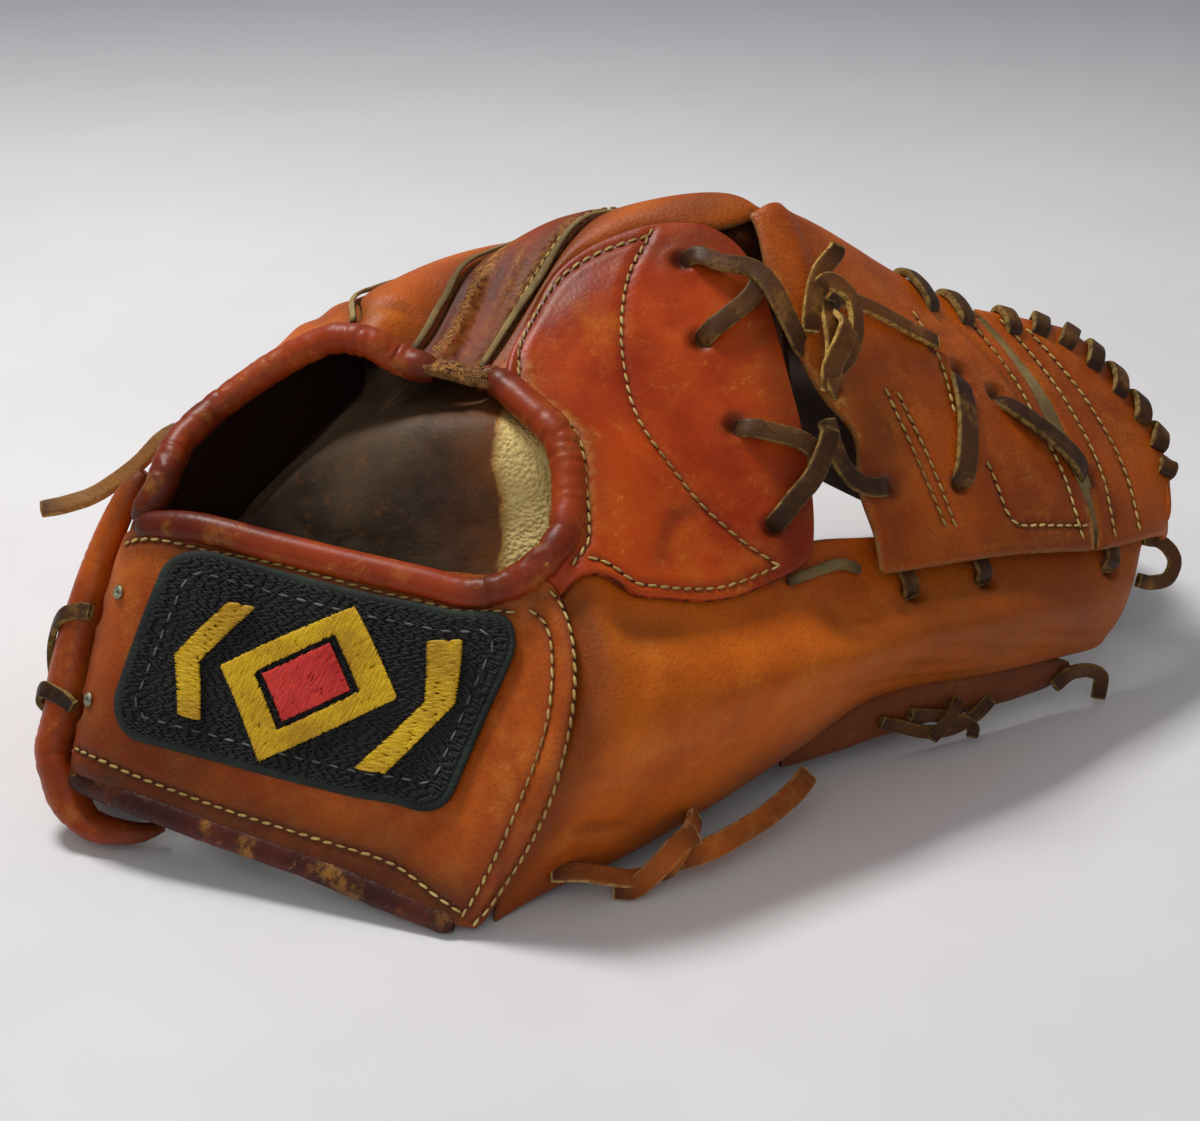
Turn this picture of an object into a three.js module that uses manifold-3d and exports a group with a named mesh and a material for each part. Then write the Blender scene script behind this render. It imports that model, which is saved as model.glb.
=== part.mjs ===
// Baseball infield glove, lying palm side down like a cupped hand.
// Millimetres, Z up, X along the glove from the wrist to the finger tips.
import * as THREE from "three";
import Module from "manifold-3d";

const wasm = await Module();
wasm.setup();

// Leather and lace sizes
const LEATHER = 2.2;
const LINING = 1.5;
const GAP = 0.4;
const LACE_WIDTH = 4.6;
const LACE_THICK = 1.8;
const ROLL_OPENING = 3.9;
const ROLL_STRAP_TOP = 3.3;
const ROLL_STRAP_BOTTOM = 2.5;
const ROLL_HEEL = 4.4;
const WELT = 1.15;
const FINGER_HUMP = 4.2;
const PATCH_THICK = 1.9;

// Moves the whole glove so that its box stands on the origin.
const SHIFT = new THREE.Vector3(-11.54, -48.7, -0.6);

// The outer skin. A row is a section round the back of the glove, from the thumb seam near the
// floor, over the knuckles, to the little finger's seam on the far side.
const COLUMNS = ["seam", "belly", "shoulder", "flank", "ridge", "index", "middle", "ring", "side", "edge"];
const SKIN = [
  { at: "wrist",
    seam: [-27, -56, 0.5], belly: [-38, -52, 2.5], shoulder: [-50, -47.5, 5], flank: [-66, -41.5, 8],
    ridge: [-83, -35, 11], index: [-97, -29.5, 13.5], middle: [-109, -25, 15.5], ring: [-119, -21, 17],
    side: [-126, -13, 14], edge: [-129, -4, 6] },
  { at: "top of the strap",
    seam: [-12, -45, 2.5], belly: [-5, -46, 40], shoulder: [-10, -22, 66], flank: [-29, -17, 68.5],
    ridge: [-47, -13.5, 69], index: [-66, -9, 70], middle: [-85, -4, 71], ring: [-105, 3, 71],
    side: [-118, 15, 51], edge: [-129, 24, 8] },
  { at: "middle of the hand opening",
    seam: [5, -37, 6], belly: [11, -40, 44], shoulder: [9, -19, 64], flank: [-2, 0, 86],
    ridge: [-21, 6, 94], index: [-43, 11, 97], middle: [-69, 17, 96], ring: [-96, 23, 88],
    side: [-112, 36, 62], edge: [-126, 52, 7] },
  { at: "arch of the opening",
    seam: [24, -24, 10], belly: [27, -31, 43], shoulder: [27.5, -11, 58.5], flank: [12, 13, 87],
    ridge: [-18, 25, 101.5], index: [-27, 29, 102], middle: [-43.5, 34, 104], ring: [-61, 37, 107.5],
    side: [-90, 62, 84], edge: [-108, 92, 8] },
  { at: "knuckles",
    seam: [49, -4, 15], belly: [47, -19, 43], shoulder: [48, 1, 58.5], flank: [46, 28, 92],
    ridge: [34, 61, 125], index: [-2, 70, 126], middle: [-30, 66, 116.5], ring: [-58, 60, 109.5],
    side: [-74, 92, 82], edge: [-82, 116, 12] },
  { at: "foot of the web",
    seam: [70, 12.5, 20], belly: [72, -3, 43], shoulder: [69, 13, 54.5], flank: [62, 34, 84],
    ridge: [46, 68, 124], index: [26, 86, 117], middle: [-2, 100, 110], ring: [-30, 108, 97],
    side: [-38, 126, 66], edge: [-38, 136, 26] },
  { at: "middle of the web",
    seam: [102, 26, 19], belly: [103, 17, 39], shoulder: [104, 33, 49], flank: [104, 58, 70],
    ridge: [88, 90, 95], index: [76, 108, 88], middle: [60, 124, 79], ring: [42, 136, 66],
    side: [34, 143, 52], edge: [30, 143, 38] },
  { at: "finger tips begin",
    seam: [130, 43.5, 15.5], belly: [135, 43, 28], shoulder: [142, 58, 38], flank: [145, 82, 57],
    ridge: [130, 104, 78], index: [136, 118, 62], middle: [132, 133, 42], ring: [119, 145, 24],
    side: [104, 149, 14], edge: [96, 146, 8] },
  { at: "finger tips end",
    seam: [135, 50, 15], belly: [142, 56, 24], shoulder: [146, 68, 33], flank: [157, 73, 44],
    ridge: [141, 108, 66], index: [147, 121, 48], middle: [143, 138, 29], ring: [131, 151, 12],
    side: [118, 155, 5], edge: [108, 153, 2] },
];

// How far the palm leather lies under the skin, at the same rows and columns.
const DEPTH = [
  { seam: 3.8, belly: 10, shoulder: 18, flank: 26, ridge: 32, index: 35, middle: 35, ring: 32, side: 20, edge: 4 },
  { seam: 3.8, belly: 14, shoulder: 17, flank: 20, ridge: 23, index: 26, middle: 30, ring: 31, side: 20, edge: 4 },
  { seam: 3.8, belly: 15, shoulder: 15, flank: 12, ridge: 10, index: 13, middle: 20, ring: 28, side: 21, edge: 4 },
  { seam: 3.8, belly: 17, shoulder: 18, flank: 13, ridge: 11, index: 12, middle: 18, ring: 24, side: 21, edge: 4 },
  { seam: 3.8, belly: 18, shoulder: 19, flank: 16, ridge: 16, index: 18, middle: 18, ring: 20, side: 19, edge: 4 },
  { seam: 3.8, belly: 17, shoulder: 3.4, flank: 3, ridge: 3, index: 18, middle: 18, ring: 18, side: 15, edge: 4 },
  { seam: 3.8, belly: 15, shoulder: 3.4, flank: 3, ridge: 3, index: 16, middle: 16, ring: 16, side: 13, edge: 4 },
  { seam: 3.8, belly: 11, shoulder: 3.4, flank: 3, ridge: 3, index: 12, middle: 12, ring: 11, side: 9, edge: 4 },
  { seam: 3.8, belly: 4, shoulder: 3.4, flank: 3, ridge: 3.2, index: 3.2, middle: 3.2, ring: 3.2, side: 3.2, edge: 3.2 },
];

// Smooth curve through numbers or vectors, by a position that runs 0, 1, 2 along the list
function weights(u) {
  return [
    (-u + 2 * u * u - u * u * u) / 2,
    (2 - 5 * u * u + 3 * u * u * u) / 2,
    (u + 4 * u * u - 3 * u * u * u) / 2,
    (u * u * u - u * u) / 2,
  ];
}

function along(list, at) {
  const last = list.length - 1;
  const i = Math.min(Math.max(Math.floor(at), 0), last - 1);
  const w = weights(Math.min(Math.max(at - i, 0), 1));
  const value = (k) => {
    const inside = list[Math.min(Math.max(k, 0), last)];
    if (k >= 0 && k <= last) return inside;
    const next = list[k < 0 ? 1 : last - 1];
    return inside.map((x, c) => 2 * x - next[c]);
  };
  const around = [i - 1, i, i + 1, i + 2].map(value);
  return around[0].map((_, c) => around.reduce((sum, point, k) => sum + w[k] * point[c], 0));
}

function between(list, at) {
  const i = Math.min(Math.floor(at), list.length - 2);
  return list[i].map((x, c) => x + (list[i + 1][c] - x) * (at - i));
}

function netPoint(net, s, t) {
  const column = net.map((row) => along(row, t));
  return new THREE.Vector3(...along(column, s));
}

function netNormal(net, s, t) {
  const [rows, columns] = [net.length - 1, net[0].length - 1];
  const step = 0.02;
  const clip = (x, top) => Math.min(Math.max(x, 0), top);
  const down = netPoint(net, clip(s - step, rows), t);
  const up = netPoint(net, clip(s + step, rows), t);
  const left = netPoint(net, s, clip(t - step, columns));
  const right = netPoint(net, s, clip(t + step, columns));
  return up.sub(down).cross(right.sub(left)).normalize();
}

const skinNet = SKIN.map((row) => COLUMNS.map((name) => row[name]));

// The palm's net: the skin's points moved inward, and kept off the floor.
function palmNet(extra, floor) {
  return skinNet.map((row, s) => row.map((point, t) => {
    const depth = DEPTH[s][COLUMNS[t]] + extra;
    const moved = new THREE.Vector3(...point).addScaledVector(netNormal(skinNet, s, t), -depth);
    return [moved.x, moved.y, Math.max(moved.z, floor)];
  }));
}

function place(net, s, t, lift) {
  return netPoint(net, s, t).addScaledVector(netNormal(net, s, t), lift);
}

// A closed leather body from a grid of outer points and a grid of inner points.
// Cells can be left out, which leaves a notch.
function shell(outer, inner, keep = () => true) {
  const [rows, columns] = [outer.length, outer[0].length];
  const points = [...outer.flat(), ...inner.flat()];
  const half = rows * columns;
  const id = (i, j, side) => side * half + i * columns + j;
  const kept = (i, j) => i >= 0 && j >= 0 && i < rows - 1 && j < columns - 1 && keep(i, j);
  const faces = [];
  const quad = (a, b, c, d) => faces.push([a, b, c], [a, c, d]);
  for (let i = 0; i < rows - 1; i++) {
    for (let j = 0; j < columns - 1; j++) {
      if (!kept(i, j)) continue;
      quad(id(i, j, 0), id(i + 1, j, 0), id(i + 1, j + 1, 0), id(i, j + 1, 0));
      quad(id(i, j, 1), id(i, j + 1, 1), id(i + 1, j + 1, 1), id(i + 1, j, 1));
      const sides = [
        [kept(i, j - 1), [i, j], [i + 1, j]],
        [kept(i, j + 1), [i + 1, j + 1], [i, j + 1]],
        [kept(i - 1, j), [i, j + 1], [i, j]],
        [kept(i + 1, j), [i + 1, j], [i + 1, j + 1]],
      ];
      for (const [joined, a, b] of sides) {
        if (!joined) quad(id(...a, 0), id(...a, 1), id(...b, 1), id(...b, 0));
      }
    }
  }
  return { points, faces };
}

// A panel on the skin. Each station is a line across it, from (s1, t1) to (s2, t2).
function panel({ stations, steps, across, lift = 0, thick = LEATHER, hump = 0, straight = false }) {
  const lines = stations.map(({ s1, t1, s2, t2 }) => [s1, t1, s2, t2]);
  const grid = (below) => Array.from({ length: steps + 1 }, (_, i) => {
    const at = (i / steps) * (lines.length - 1);
    const [s1, t1, s2, t2] = straight ? between(lines, at) : along(lines, at);
    return Array.from({ length: across + 1 }, (_, j) => {
      const f = j / across;
      const swell = Math.min(1, (1 - i / steps) * 4, (i / steps) * 2.5);
      const raised = lift + hump * (1 - (2 * f - 1) ** 2) * swell;
      return place(skinNet, s1 + (s2 - s1) * f, t1 + (t2 - t1) * f, raised - below);
    });
  });
  return shell(grid(0), grid(thick));
}

// The directions across a sweep at its stations. Where the path runs along its own flat
// direction, the neighbour's direction carries on.
function acrossDirections(stations) {
  const last = stations.length - 1;
  const forward = stations.map((_, i) => (
    stations[Math.min(i + 1, last)].at.clone().sub(stations[Math.max(i - 1, 0)].at).normalize()
  ));
  const raw = stations.map(({ up }, i) => forward[i].clone().cross(up.clone().normalize()));
  const firm = raw.findIndex((direction) => direction.length() > 0.35);
  let held = raw[Math.max(firm, 0)].clone().normalize();
  return raw.map((direction, i) => {
    if (direction.length() > 0.35) {
      const sign = i > firm && direction.dot(held) < 0 ? -1 : 1;
      held = direction.clone().multiplyScalar(sign).normalize();
    }
    const across = held.clone().addScaledVector(forward[i], -held.dot(forward[i])).normalize();
    return { across, top: across.clone().cross(forward[i]).normalize() };
  });
}

// A closed sweep along stations, each with its own flat direction, half width and half height
function sweep(stations, sides) {
  const points = [];
  const faces = [];
  const count = stations.length;
  const corner = sides === 4 ? Math.SQRT2 : 1;
  acrossDirections(stations).forEach(({ across, top }, i) => {
    const { at, wide, high } = stations[i];
    for (let k = 0; k < sides; k++) {
      const angle = ((k + 0.5) / sides) * Math.PI * 2;
      const x = Math.cos(angle) * wide * corner;
      const y = Math.sin(angle) * high * corner;
      points.push(at.clone().addScaledVector(across, x).addScaledVector(top, y));
    }
  });
  for (let i = 0; i < count - 1; i++) {
    for (let k = 0; k < sides; k++) {
      const [a, b] = [i * sides + k, i * sides + (k + 1) % sides];
      faces.push([a, a + sides, b + sides], [a, b + sides, b]);
    }
  }
  for (let k = 1; k < sides - 1; k++) {
    const end = (count - 1) * sides;
    faces.push([0, k, k + 1], [end, end + k + 1, end + k]);
  }
  return { points, faces };
}

// A path's points are {s, t, lift} on the skin or {x, y, z} in space.
// A point in space can carry its own flat direction as {up: [x, y, z]}.
function smoothPath(path, steps, up = [0, 0, 1]) {
  const rows = path.map((point) => {
    if ("x" in point) return [point.x, point.y, point.z, ...(point.up ?? up)];
    const at = place(skinNet, point.s, point.t, point.lift);
    return [at.x, at.y, at.z, ...netNormal(skinNet, point.s, point.t).toArray()];
  });
  return Array.from({ length: steps + 1 }, (_, i) => {
    const [x, y, z, a, b, c] = along(rows, (i / steps) * (rows.length - 1));
    return { at: new THREE.Vector3(x, y, z), up: new THREE.Vector3(a, b, c) };
  });
}

// Makes a sweep a little longer at both ends, for cutting room round it.
function stretch(stations, grow) {
  const last = stations.length - 1;
  const first = stations[0].at.clone().sub(stations[1].at).normalize();
  const final = stations[last].at.clone().sub(stations[last - 1].at).normalize();
  stations[0].at.addScaledVector(first, grow);
  stations[last].at.addScaledVector(final, grow);
}

// Rounded roll of leather, drawn in at its ends
function roll({ path, steps, radius, flat = 1, sides = 8, taper = 0.65 }, grow = 0) {
  const stations = smoothPath(path, steps).map((place, i) => {
    const end = Math.min(i, steps - i) === 0 ? taper : 1;
    return { ...place, wide: radius * end + grow, high: radius * flat * end + grow };
  });
  if (grow) stretch(stations, grow);
  return sweep(stations, sides);
}

// A flat lace
function lace({ path, steps, up, width = LACE_WIDTH, thick = LACE_THICK }, grow = 0) {
  const stations = smoothPath(path, steps, up).map((place) => (
    { ...place, wide: width / 2 + grow, high: thick / 2 + grow }
  ));
  if (grow) stretch(stations, grow);
  return sweep(stations, 4);
}

// A round stud or disc that stands on the skin
function stud({ s, t, lift, radius, high, sides = 12 }, grow = 0) {
  const up = netNormal(skinNet, s, t);
  const side = new THREE.Vector3(0, 0, 1);
  const station = (h) => ({ at: place(skinNet, s, t, h), up: side, wide: radius + grow, high: radius + grow });
  return sweep([station(lift - grow), station(lift + high + grow)], sides);
}

// A solid from a closed body's points and faces, with its faces turned outward
function solid({ points, faces }) {
  const volume = faces.reduce((sum, [a, b, c]) => sum + points[a].dot(points[b].clone().cross(points[c])), 0);
  const outward = volume > 0 ? faces : faces.map(([a, b, c]) => [a, c, b]);
  return new wasm.Manifold(new wasm.Mesh({
    numProp: 3,
    vertProperties: new Float32Array(points.flatMap((p) => p.toArray())),
    triVerts: new Uint32Array(outward.flat()),
  }));
}

function joined(list) {
  return list.reduce((all, each) => all.add(each));
}

function biggest(body) {
  const parts = body.decompose();
  return parts.reduce((best, each) => (each.volume() > best.volume() ? each : best));
}

function leather(colour, roughness) {
  return new THREE.MeshStandardMaterial({ color: colour, roughness, metalness: 0 });
}

const TAN = leather("#b5652c", 0.45);
const RED_BROWN = leather("#93401b", 0.35);
const WORN = leather("#6e3d26", 0.6);
const ROLL = leather("#7e3420", 0.35);
const DARK_ROLL = leather("#4b2a24", 0.6);
const PALM = leather("#a2642f", 0.6);
const LINING_SKIN = leather("#5b4a3e", 0.85);
const LACE = leather("#4c3222", 0.6);
const TAN_LACE = leather("#a87035", 0.65);
const WELT_SKIN = leather("#7c6f4b", 0.7);
const PATCH = leather("#15171a", 0.9);
const RED_THREAD = leather("#c9352f", 0.7);
const GOLD_THREAD = leather("#c9a02c", 0.6);
const EYELET = new THREE.MeshStandardMaterial({ color: "#7f8a78", roughness: 0.4, metalness: 0.8 });

function station(s1, t1, s2, t2) {
  return { s1, t1, s2, t2 };
}

function point(s, t, lift) {
  return { s, t, lift };
}

function space(x, y, z, up) {
  return { x, y, z, up };
}

// Panels of the back, each with its stations in order along it
const OVERLAP = LEATHER + 1.2;
const PATCH_LIFT = OVERLAP + 0.6 + PATCH_THICK;
const PANELS = {
  thumb_back: {
    material: TAN, steps: 18, across: 6,
    stations: [
      station(0.3, 0.02, 0.86, 1.9), station(0.8, 0.02, 1.12, 2.05), station(1.5, 0.02, 1.5, 2.2),
      station(3, 0.02, 3, 2.25), station(4, 0.02, 4, 2.25), station(5, 0.02, 5, 2.3),
      station(6, 0.02, 6, 2.3), station(7, 0.02, 7, 2.25), station(8, 0.02, 8, 2.05),
    ],
  },
  crotch_panel: {
    material: RED_BROWN, steps: 13, across: 5, lift: OVERLAP,
    stations: [
      station(1.35, 2.2, 1.25, 2.06), station(1.9, 2.84, 1.71, 2.03), station(2.36, 3.44, 2.5, 2.03),
      station(2.95, 4.06, 3.4, 2.06), station(3.22, 4.6, 3.9, 2.12), station(3.46, 4.8, 4.05, 2.3),
      station(3.62, 4.72, 4, 2.8), station(3.78, 4.44, 3.95, 3.3), station(3.88, 4.12, 3.93, 3.75),
    ],
  },
  index_back: {
    material: TAN, steps: 14, across: 4, hump: FINGER_HUMP * 0.4,
    stations: [
      station(2.98, 4.14, 2.92, 4.97), station(3.2, 4.64, 3.2, 4.97), station(3.44, 4.84, 3.46, 4.96),
      station(3.64, 4.76, 3.68, 4.97), station(3.82, 4.46, 3.86, 4.97), station(3.98, 4.12, 4.1, 4.97),
      station(4.5, 4.04, 4.5, 4.97), station(5.2, 4.04, 5.2, 4.97), station(6, 4.04, 6, 4.97),
      station(7, 4.04, 7, 4.94), station(8, 4.04, 8, 4.95),
    ],
  },
  middle_back: {
    material: WORN, steps: 14, across: 4, hump: FINGER_HUMP * 0.6,
    stations: [
      station(2.92, 5.03, 2.92, 5.97), station(4, 5.03, 4, 5.97), station(5, 5.03, 5, 5.97),
      station(6, 5.03, 6, 5.97), station(7, 5.03, 7, 5.97), station(8, 5.03, 8, 5.97),
    ],
  },
  ring_back: {
    material: TAN, steps: 14, across: 4, hump: FINGER_HUMP * 0.4,
    stations: [
      station(2.92, 6.03, 2.94, 6.97), station(4, 6.03, 4, 6.97), station(5, 6.03, 5, 6.97),
      station(6, 6.03, 6, 6.97), station(7, 6.03, 7, 6.97), station(8, 6.03, 8, 6.97),
    ],
  },
  little_back: {
    material: TAN, steps: 17, across: 5, hump: FINGER_HUMP * 0.25,
    stations: [
      station(0.12, 7.72, 0.05, 8.98), station(0.7, 7.6, 0.7, 8.98), station(1.3, 7.08, 1.3, 8.98),
      station(1.85, 7.12, 1.85, 8.98), station(2.4, 7.25, 2.4, 8.98), station(2.9, 7.03, 2.9, 8.98), station(4, 7.03, 4, 8.98),
      station(5, 7.03, 5, 8.98), station(6, 7.03, 6, 8.98), station(7, 7.03, 7, 8.98),
      station(8, 7.03, 8, 8.98),
    ],
  },
  wrist_strap: {
    material: TAN, steps: 6, across: 14, lift: OVERLAP,
    stations: [
      station(0.09, 0.2, 0.05, 7.5), station(0.25, 0.33, 0.25, 7.52), station(0.5, 0.58, 0.5, 7.5),
      station(0.72, 0.82, 0.72, 7.42), station(0.84, 1.12, 0.86, 7.34), station(0.89, 1.6, 0.955, 7.24),
    ],
  },
  patch: {
    material: PATCH, steps: 5, across: 9, lift: PATCH_LIFT, thick: PATCH_THICK,
    stations: [
      station(0.285, 1.8, 0.19, 6.42), station(0.315, 1.6, 0.22, 6.6), station(0.45, 1.6, 0.4, 6.62),
      station(0.6, 1.72, 0.6, 6.56), station(0.77, 1.88, 0.9, 6.46), station(0.81, 2.08, 0.94, 6.28),
    ],
  },
  opening_binding_worn: {
    material: WORN, steps: 3, across: 6, lift: 3.4, thick: 3,
    stations: [
      station(2.67, 4.26, 2.7, 5.56), station(2.78, 4.2, 2.78, 5.6), station(2.9, 4.26, 2.88, 5.56),
    ],
  },
  web_panel: {
    material: TAN, steps: 9, across: 7, lift: LEATHER + OVERLAP,
    stations: [
      station(4.86, 1.98, 6.5, 1.98), station(4.86, 2.3, 6.47, 2.3), station(4.76, 2.6, 6.36, 2.65),
      station(4.82, 2.92, 6.28, 3), station(4.36, 3.02, 6.26, 3.15), station(4.12, 3.2, 6.26, 3.35),
      station(3.98, 3.6, 6.22, 3.65), station(4.1, 3.99, 6.15, 3.95),
    ],
  },
  web_end: {
    material: TAN, steps: 7, across: 4, lift: LEATHER + OVERLAP,
    stations: [
      station(6.53, 1.98, 7.78, 2.36), station(6.5, 2.3, 7.84, 2.68), station(6.44, 2.65, 7.68, 2.98),
      station(6.36, 3, 7.46, 3.23), station(6.34, 3.35, 7.28, 3.53), station(6.3, 3.65, 7.1, 3.83),
      station(6.24, 3.95, 6.9, 4.05),
    ],
  },
};

// Threadwork on the patch, in straight-sided shapes. A frame has a hole of its own shape.
const MOTIF_THICK = 0.8;
const MOTIF_LIFT = PATCH_LIFT + GAP + MOTIF_THICK;
const MOTIF = {
  motif_gold_frame: {
    material: GOLD_THREAD, steps: 4, across: 2,
    stations: [station(0.55, 2.98, 0.57, 2.98), station(0.28, 4.16, 0.84, 4.06), station(0.54, 5.26, 0.56, 5.26)],
    hole: [station(0.555, 3.44, 0.565, 3.44), station(0.39, 4.14, 0.73, 4.1), station(0.55, 4.8, 0.56, 4.8)],
  },
  motif_red_diamond: {
    material: RED_THREAD, steps: 4, across: 2,
    stations: [station(0.555, 3.56, 0.565, 3.56), station(0.42, 4.14, 0.7, 4.1), station(0.55, 4.68, 0.56, 4.68)],
  },
  motif_gold_chevron_right: {
    material: GOLD_THREAD, steps: 4, across: 2,
    stations: [station(0.34, 3.0, 0.34, 2.62), station(0.55, 2.64, 0.55, 2.26), station(0.75, 2.98, 0.75, 2.6)],
  },
  motif_gold_chevron_left: {
    material: GOLD_THREAD, steps: 4, across: 2,
    stations: [station(0.36, 5.6, 0.36, 5.22), station(0.55, 5.98, 0.55, 5.6), station(0.77, 5.58, 0.77, 5.2)],
  },
};

// Rolls of leather round the hand opening, the strap and the heel
const ROLLS = {
  opening_binding_left: {
    material: ROLL, radius: ROLL_OPENING, steps: 18,
    path: [
      point(1.08, 7.08, 1.4), point(1.25, 6.96, 1), point(1.5, 6.94, 1), point(1.85, 7, 1),
      point(2.3, 7.18, 1), point(2.66, 7.2, 1), point(2.86, 6.95, 1), point(2.88, 6.5, 1),
      point(2.84, 6.1, 0.5), point(2.82, 5.72, 0),
    ],
  },
  opening_binding_right: {
    material: ROLL, radius: ROLL_OPENING, steps: 15,
    path: [
      point(2.88, 4.08, 0.8), point(2.5, 3.8, 1.2), point(2.1, 3.5, 1.6), point(1.8, 3.05, 2),
      point(1.54, 2.68, 2.4), point(1.3, 2.44, 3), point(1.12, 2.36, 3.6), point(0.98, 2.5, 3.8),
    ],
  },
  strap_top_binding: {
    material: ROLL, radius: ROLL_STRAP_TOP, steps: 16,
    path: [
      point(1.02, 7.05, 2.4), point(1.04, 6.35, 2.4), point(1.02, 5.36, 2.4), point(0.99, 4.2, 2.4),
      point(0.96, 3.4, 2.6), point(0.94, 2.9, 3), point(0.94, 2.62, 3.4),
    ],
  },
  strap_bottom_binding: {
    material: DARK_ROLL, radius: ROLL_STRAP_BOTTOM, steps: 14,
    path: [
      point(0, 7.5, 2), point(0, 6, 2), point(0, 4.5, 2), point(0.01, 3, 2),
      point(0.01, 1.5, 2.2), point(0.03, 0.5, 2.6),
    ],
  },
  heel_binding: {
    material: ROLL, radius: ROLL_HEEL, steps: 16, taper: 0.4,
    path: [
      space(-103, -22.5, 5.6), space(-111, -24.5, 5.4), space(-122.5, -20.5, 6.6), point(0.06, 8, 5),
      point(0.3, 8, 5.2), point(0.6, 8, 5.2), point(1, 7.98, 5.2), point(1.4, 7.88, 5.2),
      point(1.8, 7.7, 5),
    ],
  },
  welt_ring_little: {
    material: WELT_SKIN, radius: WELT, steps: 12, sides: 5,
    path: [point(3.12, 7, 1.9), point(4, 7, 1.9), point(5, 7, 1.9), point(6, 7, 1.9), point(7.5, 7, 1.9)],
  },
  welt_middle_ring: {
    material: WELT_SKIN, radius: WELT, steps: 12, sides: 5,
    path: [point(3.05, 6, 1.9), point(4, 6, 1.9), point(5, 6, 1.9), point(6, 6, 1.9), point(7.5, 6, 1.9)],
  },
  welt_index_middle: {
    material: WELT_SKIN, radius: WELT, steps: 12, sides: 5,
    path: [point(3.05, 5, 1.9), point(4, 5, 1.9), point(5, 5, 1.9), point(6, 5, 1.9), point(7.5, 5, 1.9)],
  },
  web_welt: {
    material: WELT_SKIN, radius: 1.9, flat: 0.55, steps: 12, sides: 6,
    path: [
      point(6.16, 3.86, 7), point(6.28, 3.4, 7), point(6.32, 3, 7), point(6.42, 2.6, 7),
      point(6.515, 2.02, 7),
    ],
  },
  thumb_top_piping: {
    material: WELT_SKIN, radius: 1.9, flat: 0.8, steps: 8, sides: 6,
    path: [point(3.72, 1.98, 2.2), point(4.1, 2.04, 2.4), point(4.45, 2.1, 2.2), point(4.75, 2.05, 2)],
  },
};

// The whip lace along the web's free edge: where each turn crosses the edge, and its hole inside it.
const WEB_TOP = LEATHER + OVERLAP;
const WHIP = [
  { edgeS: 5.76, edgeT: 3.95, holeS: 5.79, holeT: 3.74 }, { edgeS: 6.04, edgeT: 3.94, holeS: 6.04, holeT: 3.74 },
  { edgeS: 6.42, edgeT: 3.96, holeS: 6.39, holeT: 3.77 }, { edgeS: 6.68, edgeT: 4, holeS: 6.6, holeT: 3.82 },
  { edgeS: 6.91, edgeT: 3.95, holeS: 6.76, holeT: 3.75 }, { edgeS: 7.07, edgeT: 3.81, holeS: 6.89, holeT: 3.59 },
  { edgeS: 7.2, edgeT: 3.63, holeS: 7.01, holeT: 3.41 }, { edgeS: 7.32, edgeT: 3.44, holeS: 7.13, holeT: 3.23 },
  { edgeS: 7.44, edgeT: 3.25, holeS: 7.25, holeT: 3.05 }, { edgeS: 7.58, edgeT: 3.06, holeS: 7.39, holeT: 2.87 },
];

// One turn: out over the edge, back underneath to the next hole, and up through it.
const WHIP_SIZE = { width: 4.2, thick: 1.6 };

function whipTurns() {
  const above = WEB_TOP + 1.6;
  const below = WEB_TOP - LEATHER - 1.6;
  return WHIP.flatMap(({ edgeS, edgeT, holeS, holeT }, k) => {
    const out = (f, lift) => point(edgeS + (edgeS - holeS) * f, edgeT + (edgeT - holeT) * f, lift);
    const over = [
      out(-1.15, above), out(-0.3, above + 0.3), out(0.35, above - 0.2), out(0.7, WEB_TOP - 1.1),
      out(0.35, below + 0.2), out(-0.4, below),
    ];
    const next = WHIP[k + 1];
    const under = [out(-0.1, below - 0.1), point(next?.holeS, next?.holeT, below + 0.1)];
    const turn = [{ ...WHIP_SIZE, steps: 5, path: over }];
    return next ? [...turn, { ...WHIP_SIZE, width: 3.8, thick: 1.2, steps: 1, path: under }] : turn;
  });
}

// Where the whip lace comes up through its holes
function whipPegs(grow = 0) {
  return WHIP.slice(1).map(({ holeS, holeT }) => (
    solid(stud({ s: holeS, t: holeT, lift: WEB_TOP - LEATHER - 1.6, radius: 1.3, high: LEATHER + 3.3, sides: 4 }, grow))
  ));
}

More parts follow.
